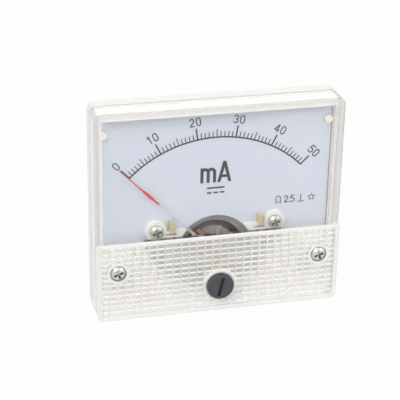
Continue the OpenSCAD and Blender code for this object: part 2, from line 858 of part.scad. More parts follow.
module symbol_marks() {
    leg = 0.62;
    color([0.25, 0.25, 0.27]) printed() translate([0, symbol_z]) {
        translate([magnet_x, 0]) {
            arc_stroke([0, symbol_h / 2 - leg], leg, 0, 180, symbol_line);
            for (s = [-1, 1]) {
                stroke([s * leg, symbol_h / 2 - leg], [s * leg, -symbol_h / 2],
                    symbol_line);
                stroke([s * leg, -symbol_h / 2], [s * leg * 0.5, -symbol_h / 2],
                    symbol_line);
            }
            translate([0, -symbol_h * 0.3]) circle(symbol_line * 0.8, $fn = 16);
        }
        translate([accuracy_x, 0]) {
            translate([-0.85, 0]) scale(symbol_h) digit(2);
            translate([0, -symbol_h / 2 + symbol_line * 0.6])
                circle(symbol_line * 0.7, $fn = 16);
            translate([0.85, 0]) scale(symbol_h) digit(5);
        }
        translate([upright_x, 0]) {
            stroke([-0.75, -symbol_h / 2], [0.75, -symbol_h / 2], symbol_line);
            stroke([0, -symbol_h / 2], [0, symbol_h / 2], symbol_line);
        }
        translate([star_x, 0]) difference() {
            star(star_r);
            star(star_r * 0.66);
        }
    }
}

// ---- stops ----

module stop_arm(side) {
    slab_front = y_dial - stop_arm_t;
    inner_x = sqrt(pow(cutout_r + stop_arm_gap, 2) - pow(stop_arm_z - z_pivot, 2));
    color("ivory") difference() {
        union() {
            translate([side * dial_screw_x, 0, z_dial_screw])
                rod(stop_boss_r, y_dial - stop_boss_t, y_dial);
            slab(slab_front, y_dial) difference() {
                translate([side > 0 ? inner_x : -dial_screw_x, stop_arm_z - stop_arm_h])
                    square([dial_screw_x - inner_x, stop_arm_h]);
                about_pivot() circle(cutout_r + stop_arm_gap);
            }
        }
        translate([side * dial_screw_x, 0, z_dial_screw])
            rod(dial_shank_r + fit_gap, y_dial - stop_boss_t - bite, y_dial + bite);
        translate([side * (stop_post_x + stop_post_w / 2), 0,
            stop_arm_z - stop_arm_h * 0.45])
            slab(slab_front - bite, y_dial + bite) centred_bar(stop_slot_l, stop_slot_h);
    }
}

module left_stop_arm() { stop_arm(-1); }
module right_stop_arm() { stop_arm(1); }

module stop_posts() {
    color("wheat") for (s = [-1, 1])
        translate([s * (stop_post_x + stop_post_w / 2), 0, stop_arm_z + stop_post_h / 2])
            slab(stop_post_y, y_dial) centred_bar(stop_post_w, stop_post_h);
}

module dial_screws() {
    color("silver") both_sides(dial_screw_x)
        translate([0, y_dial - stop_boss_t, z_dial_screw])
            cross_screw(dial_head_r, dial_head_t, dial_shank_r,
                y_frame_end - bite - (y_dial - stop_boss_t));
}

// ---- movement frame and magnet system ----

module movement_frame() {
    color("gainsboro") difference() {
        union() {
            slab(y_frame, y_frame_end) difference() {
                intersection() {
                    union() {
                        about_pivot() circle(yoke_ro + frame_rim);
                        translate([-frame_bar_w / 2, frame_screw_z - post_r])
                            square([frame_bar_w, post_r + frame_bar_rise]);
                        for (s = [-1, 1]) translate([s * dial_screw_x, z_dial_screw])
                            circle(ear_r);
                        translate([-dial_screw_x - ear_r, frame_screw_z])
                            square([2 * (dial_screw_x + ear_r),
                                z_dial_screw - frame_screw_z]);
                    }
                    translate([0, z_drum]) circle(drum_ri - frame_gap);
                    translate([-drum_ri, z_pivot - frame_cut])
                        square([2 * drum_ri, drum_ri]);
                }
                about_pivot() circle(yoke_ro + fit_gap);
            }
            both_sides(dial_screw_x) translate([0, 0, z_dial_screw])
                rod(ear_r, y_seat, y_frame + bite);
        }
        both_sides(dial_screw_x) translate([0, 0, z_dial_screw])
            rod(dial_shank_r + fit_gap, y_seat - bite, y_frame_end + bite);
        both_sides(frame_screw_x) translate([0, 0, frame_screw_z])
            rod(frame_screw_r + fit_gap, y_frame - bite, y_frame_end + bite);
    }
}

module movement_screws() {
    color("silver") both_sides(frame_screw_x) translate([0, y_frame, frame_screw_z])
        cross_screw(frame_head_r, frame_head_t, frame_screw_r,
            frame_t + frame_screw_bite);
}

module yoke_ring() {
    color("slategray") at_pivot() difference() {
        washer(yoke_ro, yoke_ri, y_yoke, y_yoke_end);
        both_sides(bridge_screw_x) {
            rod(bridge_screw_r + fit_gap, y_yoke - bite,
                y_yoke + bridge_screw_bite + slip_gap);
            rod(bridge_screw_r + fit_gap, y_yoke_end - bridge_screw_bite - slip_gap,
                y_yoke_end + bite);
        }
    }
}

module core_magnet() {
    color("dimgray") at_pivot() rod(core_r, y_core, y_core_end);
}

module core_spacers() {
    color("goldenrod") at_pivot() slab(y_core, y_core_end) intersection() {
        difference() {
            circle(yoke_ri - fit_gap);
            circle(core_r + fit_gap);
        }
        centred_bar(2 * yoke_ri, spacer_w);
    }
}

// ---- bridges ----

// A bar across the yoke on two legs; y_foot is the yoke's end face
module bridge(y_bar0, y_bar1, y_foot) {
    leg0 = min(y_foot, y_bar0);
    leg1 = max(y_foot, y_bar1);
    span = 2 * (leg_x + leg_w);
    at_pivot() difference() {
        union() {
            slab(y_bar0, y_bar1) {
                circle(bridge_h / 2);
                centred_bar(span, leg_h * 0.75);
            }
            both_sides(bridge_screw_x) slab(leg0, leg1) centred_bar(leg_w, leg_h);
        }
        rod(jewel_screw_r + fit_gap, y_bar0 - bite, y_bar1 + bite);
        both_sides(bridge_screw_x)
            rod(bridge_screw_r + fit_gap, leg0 - bite, leg1 + bite);
    }
}

module front_bridge() {
    color("lightgray") bridge(y_bridge, y_bridge_back, y_yoke);
}

module rear_bridge() {
    color("lightgray") bridge(y_rear_bridge, y_rear_bridge_end, y_yoke_end);
}

// Slotted screw with its head at y = 0 facing the front
module slot_screw(head_r, head_t, shank_r, shank_len) {
    difference() {
        union() {
            rod(head_r, -head_t, 0);
            rod(shank_r, -bite, shank_len);
        }
        slab(-head_t - bite, -head_t / 2) centred_bar(3 * head_r, head_r * 0.3);
    }
}

module bridge_screws() {
    front_len = y_yoke + bridge_screw_bite - y_bridge;
    rear_len = y_rear_bridge_end - (y_yoke_end - bridge_screw_bite);
    color("silver") at_pivot() both_sides(bridge_screw_x) {
        translate([0, y_bridge, 0])
            slot_screw(bridge_head_r, bridge_head_t, bridge_screw_r, front_len);
        translate([0, y_rear_bridge_end, 0]) rotate([0, 0, 180])
            slot_screw(bridge_head_r, bridge_head_t, bridge_screw_r, rear_len);
    }
}

module jewel_screw() {
    slot_w = jewel_screw_r * 0.35;
    difference() {
        rod(jewel_screw_r, 0, jewel_screw_len);
        slab(-bite, slot_w) centred_bar(3 * jewel_screw_r, slot_w);
        rod(jewel_r + fit_gap, jewel_screw_len - jewel_t, jewel_screw_len + bite);
    }
}

module front_jewel_screw() {
    color("tan") at_pivot() translate([0, y_jewel_end - jewel_screw_len, 0])
        jewel_screw();
}

module rear_jewel_screw() {
    color("tan") at_pivot() translate([0, y_rear_jewel + jewel_screw_len, 0])
        rotate([0, 0, 180]) jewel_screw();
}

module jewel(y0, y1) {
    washer(jewel_r, shaft_r + run_gap / 2, y0, y1);
}

module jewels() {
    color("crimson") at_pivot() {
        jewel(y_jewel_end - jewel_t, y_jewel_end);
        jewel(y_rear_jewel, y_rear_jewel + jewel_t);
    }
}

module jewel_locknuts() {
    color("tan") at_pivot() {
        nut(locknut_r, jewel_screw_r + fit_gap, y_lever - lever_gap - locknut_t,
            y_lever - lever_gap);
        nut(locknut_r, jewel_screw_r + fit_gap, y_tag_end + lever_gap,
            y_tag_end + lever_gap + locknut_t);
    }
}

// ---- moving coil ----

// A rectangular frame about the core, seen from the side of the pointer's plane
module coil_frame(r, y0, y1, t, w) {
    rotate([0, 90, 0]) linear_extrude(w, center = true) difference() {
        translate([-r - t, y0 - t]) square([2 * (r + t), y1 - y0 + 2 * t]);
        translate([-r, y0]) square([2 * r, y1 - y0]);
    }
}

module coil_former() {
    color("silver") swung(rest_angle) {
        coil_frame(former_r, y_former, y_former_end, former_t,
            winding_w + former_lip);
    }
}

module coil_winding() {
    color("chocolate") swung(rest_angle)
        coil_frame(winding_ri, y_former - former_t, y_former_end + former_t,
            winding_t, winding_w);
}

module front_pivot() {
    color("silver") swung(rest_angle) {
        rod(pivot_base_r, y_coil - pivot_base_t, y_coil);
        rod(shaft_r, y_jewel_end - shaft_bite, y_coil - pivot_base_t + bite);
    }
}

module rear_pivot() {
    color("silver") swung(rest_angle) {
        rod(pivot_base_r, y_coil_end, y_coil_end + pivot_base_t);
        rod(shaft_r, y_coil_end + pivot_base_t - bite, y_rear_jewel + shaft_bite);
    }
}

module spring_collets() {
    color("goldenrod") at_pivot() for (y = [y_spring, y_spring_end])
        washer(collet_r, shaft_r + fit_gap, y - collet_t / 2, y + collet_t / 2);
}

module front_hairspring() {
    color("peru") at_pivot() hairspring(y_spring);
}

module rear_hairspring() {
    color("peru") at_pivot() hairspring(y_spring_end);
}

module balance_cross() {
    color("silver") swung(rest_angle) {
        washer(hub_r, shaft_r + fit_gap, pointer_back, pointer_back + 2 * arm_wire_r);
        for (a = balance_dirs) rotate([0, a, 0]) translate([0, y_balance, hub_r - 0.15])
            cylinder(r = arm_wire_r, h = balance_arm - hub_r + 0.15, $fn = 24);
    }
}

module balance_weights() {
    color("peru") swung(rest_angle) for (a = balance_dirs)
        rotate([0, a, 0]) translate([0, y_balance, balance_arm - weight_l - 0.2])
            difference() {
                cylinder(r = weight_r, h = weight_l, $fn = 32);
                translate([0, 0, -bite])
                    cylinder(r = arm_wire_r + fit_gap, h = weight_l + 2 * bite, $fn = 24);
            }
}

module pointer() {
    color([0.86, 0.2, 0.16]) swung(rest_angle) {
        slab(y_pointer - blade_t / 2, pointer_back) difference() {
            union() {
                circle(hub_r);
                translate([-foot_w / 2, 0]) square([foot_w, foot_end]);
            }
            circle(shaft_r + fit_gap);
        }
        translate([0, y_pointer, foot_end - bite])
            cylinder(r = min(wire_r, blade_t / 2), h = wire_end - foot_end + 2 * bite,
                $fn = 24);
        slab(y_pointer - blade_t / 2, pointer_back) polygon([
            [-neck_w / 2, wire_end], [-neck_w / 2, lance_start - 0.8],
            [-lance_w / 2, lance_start], [-lance_w / 2, lance_start + 1.2],
            [-needle_w / 2, lance_end], [-tip_w / 2, pointer_len],
            [tip_w / 2, pointer_len], [needle_w / 2, lance_end],
            [lance_w / 2, lance_start + 1.2], [lance_w / 2, lance_start],
            [neck_w / 2, lance_start - 0.8], [neck_w / 2, wire_end]]);
    }
}

// ---- zero setting ----

module lever_ring(y0, y1) {
    washer(lever_ring_r, jewel_screw_r + run_gap, y0, y1);
}

module zero_lever() {
    color("silver") at_pivot() {
        lever_ring(y_lever, y_lever_back);
        slab(y_lever, y_lever_back) difference() {
            union() {
                translate([-lever_arm_w / 2, lever_ring_r - bite])
                    square([lever_arm_w, tag_r + tag_t - lever_ring_r + bite]);
                translate([-fork_w / 2, -fork_r - 1.6])
                    square([fork_w, fork_r + 1.6 - lever_ring_r + bite]);
            }
            translate([-cam_pin_r - cam_pin_gap, -fork_r - 2])
                square([2 * (cam_pin_r + cam_pin_gap), 3.1]);
        }
        slab(y_lever, y_spring + spring_w / 2)
            translate([-lever_arm_w / 4, tag_r]) square([lever_arm_w / 2, tag_t]);
        slab(y_tail, y_tail + lever_t) {
            translate([-lever_arm_w / 4, tag_r])
                square([lever_arm_w / 2, lever_tip_r - tag_r]);
            translate([-lever_arm_w / 4, lever_tip_r - lever_tip_w])
                square([lever_arm_w, lever_tip_w]);
        }
    }
}

module rear_spring_tag() {
    color("silver") at_pivot() {
        lever_ring(y_tag, y_tag_end);
        slab(y_tag, y_tag_end) translate([-lever_arm_w / 2, lever_ring_r - bite])
            square([lever_arm_w, tag_r + tag_t - lever_ring_r + bite]);
        slab(y_spring_end - spring_w / 2, y_tag_end)
            translate([-lever_arm_w / 4, tag_r]) square([lever_arm_w / 2, tag_t]);
    }
}

module zero_adjuster() {
    color([0.34, 0.33, 0.36]) translate([0, 0, z_adjuster]) difference() {
        union() {
            turned([[0, -y_panel + adjuster_lift], [adjuster_r, -y_panel + adjuster_lift],
                [adjuster_r, -y_adjuster - 0.25], [adjuster_r - 0.25, -y_adjuster],
                [0, -y_adjuster]]);
            rod(neck_r, y_panel - adjuster_lift - bite, y_cam);
        }
        slab(y_adjuster - bite, y_adjuster + adjuster_slot_depth) rotate(-slot_angle)
            centred_bar(adjuster_slot_w, 2 * adjuster_r * adjuster_slot_l);
    }
}

module adjuster_cam() {
    color([0.3, 0.3, 0.32]) translate([0, 0, z_adjuster]) {
        rod(cam_r, y_cam, y_cam_back);
        translate([0, 0, cam_throw])
            rod(cam_pin_r, y_cam_back - 0.2, y_lever_back + 0.15);
    }
}

// ---- mounting and terminals ----

module mounting_studs() {
    color("silver") four_corners(stud_pitch_x / 2, stud_pitch_z / 2) {
        rod(stud_head_r, y_stud_seat - stud_head_t, y_stud_seat);
        rod(stud_neck_r, y_stud_seat - bite, -stud_neck_set);
        rod(stud_r, -stud_neck_set - bite, stud_len);
    }
}

module terminal_studs() {
    color("silver") at_drum() both_sides(terminal_pitch / 2) {
        slab(y_back_in - lug_t - terminal_head_t, y_back_in - lug_t)
            circle(terminal_nut_r, $fn = 6);
        rod(terminal_r, y_back_in - lug_t - bite, drum_len + terminal_len);
    }
}

module terminal_washers() {
    color("silver") at_drum() both_sides(terminal_pitch / 2) for (y = [drum_len, y_outer_washer])
        washer(terminal_washer_r, terminal_r + 0.1, y, y + terminal_washer_t);
}

module terminal_nuts() {
    color("silver") at_drum() both_sides(terminal_pitch / 2)
        for (y = [drum_len + terminal_washer_t, y_outer_washer + terminal_washer_t])
            nut(terminal_nut_r, terminal_r + fit_gap, y, y + terminal_nut_t);
}

// ---- wiring ----

module inner_lugs() {
    color("goldenrod") at_drum() for (s = [-1, 1]) {
        slab(y_back_in - lug_t, y_back_in) difference() {
            translate([s * terminal_pitch / 2, 0]) {
                circle(lug_ring_r);
                translate([-lug_strip_w / 2, -lug_tail])
                    square([lug_strip_w, lug_tail + shunt_z + lug_strip_w / 2]);
            }
            translate([s * terminal_pitch / 2, 0]) circle(terminal_r + fit_gap);
        }
        difference() {
            translate([s > 0 ? tab_x : -tab_x - lug_t, y_shunt - bobbin_core_r,
                shunt_z - lug_strip_w / 2])
                cube([lug_t, y_back_in - y_shunt + bobbin_core_r, lug_strip_w]);
            translate([s * tab_x, y_shunt, shunt_z]) rotate([0, 90, 0])
                cylinder(r = bobbin_pin_r + fit_gap, h = 4 * lug_t, center = true);
        }
    }
}

module along_x(r, half) {
    rotate([0, 90, 0]) cylinder(r = r, h = 2 * half, center = true);
}

module shunt_bobbin() {
    color("tan") at_drum() translate([0, y_shunt, shunt_z]) {
        along_x(bobbin_core_r, bobbin_len / 2);
        along_x(bobbin_pin_r, bobbin_len / 2 + bobbin_gap + lug_t);
        both_sides(bobbin_len / 2 - bobbin_flange_t / 2)
            along_x(bobbin_r, bobbin_flange_t / 2);
    }
}

module shunt_winding() {
    half = bobbin_len / 2 - bobbin_flange_t - fit_gap;
    color("sienna") at_drum() translate([0, y_shunt, shunt_z]) difference() {
        along_x(shunt_r, half);
        along_x(bobbin_core_r + fit_gap, half + 1);
    }
}

module positive_lead() { color("firebrick") wire(positive_route, lead_r); }
module negative_lead() { color("midnightblue") wire(negative_route, lead_r); }

base_housing();
front_cover();
cover_screws();
dial_plate();
scale_ticks();
scale_numbers();
unit_marks();
symbol_marks();
left_stop_arm();
right_stop_arm();
stop_posts();
dial_screws();
movement_frame();
movement_screws();
yoke_ring();
core_magnet();
core_spacers();
front_bridge();
rear_bridge();
bridge_screws();
front_jewel_screw();
rear_jewel_screw();
jewels();
jewel_locknuts();
coil_former();
coil_winding();
front_pivot();
rear_pivot();
spring_collets();
front_hairspring();
rear_hairspring();
balance_cross();
balance_weights();
pointer();
zero_lever();
rear_spring_tag();
zero_adjuster();
adjuster_cam();
mounting_studs();
terminal_studs();
terminal_washers();
terminal_nuts();
inner_lugs();
shunt_bobbin();
shunt_winding();
positive_lead();
negative_lead();
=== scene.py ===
"""Dresses an analog panel meter: finishes, threads, windings, light and camera."""

import json
import logging
import math
from dataclasses import dataclass, field
from enum import Enum
from typing import Sequence

import bpy
from mathutils import Matrix, Vector


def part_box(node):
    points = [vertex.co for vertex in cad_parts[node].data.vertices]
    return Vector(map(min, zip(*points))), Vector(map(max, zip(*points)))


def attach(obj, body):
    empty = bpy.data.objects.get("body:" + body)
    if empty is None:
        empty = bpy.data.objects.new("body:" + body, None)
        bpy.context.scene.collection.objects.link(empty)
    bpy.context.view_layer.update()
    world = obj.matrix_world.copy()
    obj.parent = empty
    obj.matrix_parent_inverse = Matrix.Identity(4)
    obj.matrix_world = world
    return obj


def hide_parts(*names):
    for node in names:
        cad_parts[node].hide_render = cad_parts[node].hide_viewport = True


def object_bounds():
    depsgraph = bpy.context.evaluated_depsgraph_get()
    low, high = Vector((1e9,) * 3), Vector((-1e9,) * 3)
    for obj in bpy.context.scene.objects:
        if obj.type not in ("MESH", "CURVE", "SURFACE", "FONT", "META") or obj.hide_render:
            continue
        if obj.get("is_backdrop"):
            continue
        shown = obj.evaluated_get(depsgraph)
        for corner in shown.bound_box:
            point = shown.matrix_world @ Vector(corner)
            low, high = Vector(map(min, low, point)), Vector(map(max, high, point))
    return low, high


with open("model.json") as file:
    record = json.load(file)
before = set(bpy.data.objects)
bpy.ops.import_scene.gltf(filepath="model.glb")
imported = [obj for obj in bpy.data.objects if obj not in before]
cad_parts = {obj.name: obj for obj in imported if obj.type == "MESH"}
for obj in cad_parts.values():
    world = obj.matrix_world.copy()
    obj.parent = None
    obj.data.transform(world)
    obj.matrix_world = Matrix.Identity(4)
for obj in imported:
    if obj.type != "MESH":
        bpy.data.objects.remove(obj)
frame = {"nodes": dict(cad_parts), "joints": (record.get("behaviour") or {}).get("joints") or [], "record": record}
cad_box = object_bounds()

log = logging.getLogger("panel_meter")
MM = 0.001

# Y of the raised panel's front face, in millimetres
PANEL_FACE = -11.5
# The turn that lays an upright cylinder along Y
ALONG_Y = -math.pi / 2
# Edges sharper than this stay crisp under smooth shading
CRISP_ANGLE = math.radians(32)
# Points closer than this are one point, in metres
MERGE_DISTANCE = 1e-6
# Crests of a rolled thread stand this share of its pitch above the root
THREAD_DEPTH = 0.61
# Length of a drift of colour, in grains
DRIFT_GRAINS = 8
# Lowest and highest roughness of a finish, as shares of its mean
GLOSS_RANGE = (0.85, 1.15)
# How far the painted shade in a corner reaches in millimetres, the range of openness over which it fades, and its
# colour
CREVICE_SHADE_REACH = 0.7
CREVICE_SHADE_RANGE = (0.25, 0.85)
CREVICE_SHADE_COLOUR = "3A332C"


class Ray(Enum):
    """The kinds of ray that a backdrop answers with its own plain white."""

    CAMERA = "Is Camera Ray"
    GLOSSY = "Is Glossy Ray"
    TRANSMISSION = "Is Transmission Ray"


def linear(hex_colour: str) -> tuple[float, float, float, float]:
    """Turns an sRGB hex colour into linear light.

    Args:
        hex_colour: Six hex digits, such as "F2EEE0".

    Returns:
        Red, green, blue and an alpha of 1.
    """
    parts = [int(hex_colour[i:i + 2], 16) / 255 for i in (0, 2, 4)]
    light = [c / 12.92 if c <= 0.04045 else ((c + 0.055) / 1.055) ** 2.4 for c in parts]
    return light[0], light[1], light[2], 1.0


def node(tree: bpy.types.NodeTree, kind: str, links: dict | None = None,
         values: dict | None = None, **settings: object) -> bpy.types.Node:
    """Adds one node with its settings, values and incoming links.

    Args:
        tree: The tree that the node goes into.
        kind: The node's type name.
        links: Input name or number to the output socket that feeds it.
        values: Input name or number to its fixed value.
        **settings: The node's own properties.

    Returns:
        The new node.
    """
    made = tree.nodes.new(kind)
    for key, value in settings.items():
        setattr(made, key, value)
    for key, value in (values or {}).items():
        made.inputs[key].default_value = value
    for key, socket in (links or {}).items():
        tree.links.new(socket, made.inputs[key])
    return made


def from_pivot(tree: bpy.types.NodeTree, height: float) -> bpy.types.NodeSocket:
    """Gives the distance from an axis along Y at a height, in metres.

    Args:
        tree: The material's tree.
        height: The axis's place along Z, in metres.

    Returns:
        The socket that holds the distance.
    """
    place = node(tree, "ShaderNodeTexCoord").outputs["Object"]
    split = node(tree, "ShaderNodeSeparateXYZ", {0: place})
    lifted = node(tree, "ShaderNodeMath", {0: split.outputs["Z"]}, {1: -height},
                  operation="ADD")
    flat = node(tree, "ShaderNodeCombineXYZ", {"X": split.outputs["X"], "Y": lifted.outputs[0]})
    return node(tree, "ShaderNodeVectorMath", {0: flat.outputs[0]},
                operation="LENGTH").outputs["Value"]


@dataclass(frozen=True)
class Finish:
    """A finish whose colour and gloss vary a little, as its making leaves it, with shade painted into its corners
    where asked.

    Attributes:
        name: The material's common name and how its surface was made.
        colour: Its sRGB hex colour.
        tint: The sRGB hex colour that it drifts towards.
        drift: How far it drifts, from 0 to 1.
        roughness: Its mean roughness.
        metallic: 1 for a bare metal.
        ior: Its refractive index.
        grain: Size of its surface grain, in millimetres.
        relief: Height of that grain, in millimetres.
        stretch: How much longer the grain is along X, Y and Z.
        edge: Radius that catches the light along its edges, in millimetres.
        crevice_shade: How dark the shade painted into its corners and slots goes, from 0 to 1.
    """

    name: str
    colour: str
    tint: str
    drift: float = 0.3
    roughness: float = 0.4
    metallic: float = 0.0
    ior: float = 1.5
    grain: float = 0.4
    relief: float = 0.002
    stretch: tuple[float, float, float] = (1.0, 1.0, 1.0)
    edge: float = 0.0
    crevice_shade: float = 0.0

    def pattern(self, tree: bpy.types.NodeTree) -> bpy.types.NodeSocket:
        """Gives the surface grain.

        Args:
            tree: The material's tree.

        Returns:
            The socket that holds the grain, from 0 to 1.
        """
        place = node(tree, "ShaderNodeTexCoord").outputs["Object"]
        laid = node(tree, "ShaderNodeMapping", {"Vector": place},
                    {"Scale": [1 / s for s in self.stretch]})
        return node(tree, "ShaderNodeTexNoise", {"Vector": laid.outputs[0]},
                    {"Scale": 1 / (self.grain * MM), "Detail": 3.0}).outputs[0]

    def colours(self, tree: bpy.types.NodeTree) -> bpy.types.NodeSocket:
        """Gives the colour, which drifts over a few millimetres, with shade painted into corners.

        Args:
            tree: The material's tree.

        Returns:
            The socket that holds the colour.
        """
        place = node(tree, "ShaderNodeTexCoord").outputs["Object"]
        slow = node(tree, "ShaderNodeTexNoise", {"Vector": place},
                    {"Scale": 1 / (DRIFT_GRAINS * self.grain * MM), "Detail": 2.0})
        share = node(tree, "ShaderNodeMath", {0: slow.outputs[0]}, {1: self.drift},
                     operation="MULTIPLY")
        body = node(tree, "ShaderNodeMix", {"Factor": share.outputs[0]},
                    {6: linear(self.colour), 7: linear(self.tint)},
                    data_type="RGBA").outputs[2]
        if not self.crevice_shade:
            return body
        # Painted shade: the colour darkens towards dark brown where ambient occlusion finds a corner or slot
        open_share = node(tree, "ShaderNodeAmbientOcclusion", None,
                          {"Distance": CREVICE_SHADE_REACH * MM}, samples=6).outputs["AO"]
        shade_share = node(tree, "ShaderNodeMapRange", {"Value": open_share},
                    {"From Min": CREVICE_SHADE_RANGE[0], "From Max": CREVICE_SHADE_RANGE[1],
                     "To Min": self.crevice_shade, "To Max": 0.0})
        return node(tree, "ShaderNodeMix", {"Factor": shade_share.outputs[0], 6: body},
                    {7: linear(CREVICE_SHADE_COLOUR)}, data_type="RGBA").outputs[2]

    def relief_on(self, tree: bpy.types.NodeTree) -> bpy.types.NodeSocket:
        """Gives the normal, with the grain's relief and any soft edge.

        Args:
            tree: The material's tree.

        Returns:
            The socket that holds the normal.
        """
        bump = node(tree, "ShaderNodeBump", {"Height": self.pattern(tree)},
                    {"Strength": 1.0, "Distance": self.relief * MM})
        if self.edge:
            soft = node(tree, "ShaderNodeBevel", None, {"Radius": self.edge * MM}, samples=4)
            tree.links.new(soft.outputs[0], bump.inputs["Normal"])
        return bump.outputs[0]

    def build(self) -> bpy.types.Material:
        """Builds the material.

        Returns:
            The finished material.
        """
        made = bpy.data.materials.new(self.name)
        made.use_nodes = True
        tree = made.node_tree
        shader = tree.nodes["Principled BSDF"]
        shader.inputs["Metallic"].default_value = self.metallic
        if not self.metallic:
            shader.inputs["IOR"].default_value = self.ior
        tree.links.new(self.colours(tree), shader.inputs["Base Color"])
        spread = node(tree, "ShaderNodeMapRange", {"Value": self.pattern(tree)},
                      {"To Min": self.roughness * GLOSS_RANGE[0],
                       "To Max": self.roughness * GLOSS_RANGE[1]})
        tree.links.new(spread.outputs[0], shader.inputs["Roughness"])
        tree.links.new(self.relief_on(tree), shader.inputs["Normal"])
        return made


@dataclass(frozen=True)
class TwoTone(Finish):
    """Paint from one radius outward, with the bare metal left inside it.

    Attributes:
        bare: The bare metal's sRGB hex colour.
        start: Radius where the paint starts, in millimetres.
        axis_height: Height of the axis, in metres.
    """

    bare: str = "D8D8DA"
    start: float = 21.3
    axis_height: float = 0.0

    def build(self) -> bpy.types.Material:
        """Builds the painted finish and leaves the metal bare inside the radius.

        Returns:
            The finished material.
        """
        made = super().build()
        tree = made.node_tree
        shader = tree.nodes["Principled BSDF"]
        inside = node(tree, "ShaderNodeMath", {0: from_pivot(tree, self.axis_height)},
                      {1: self.start * MM}, operation="LESS_THAN").outputs[0]
        paint = shader.inputs["Base Color"].links[0].from_socket
        both = node(tree, "ShaderNodeMix", {"Factor": inside, 6: paint},
                    {7: linear(self.bare)}, data_type="RGBA")
        tree.links.new(both.outputs[2], shader.inputs["Base Color"])
        tree.links.new(inside, shader.inputs["Metallic"])
        return made


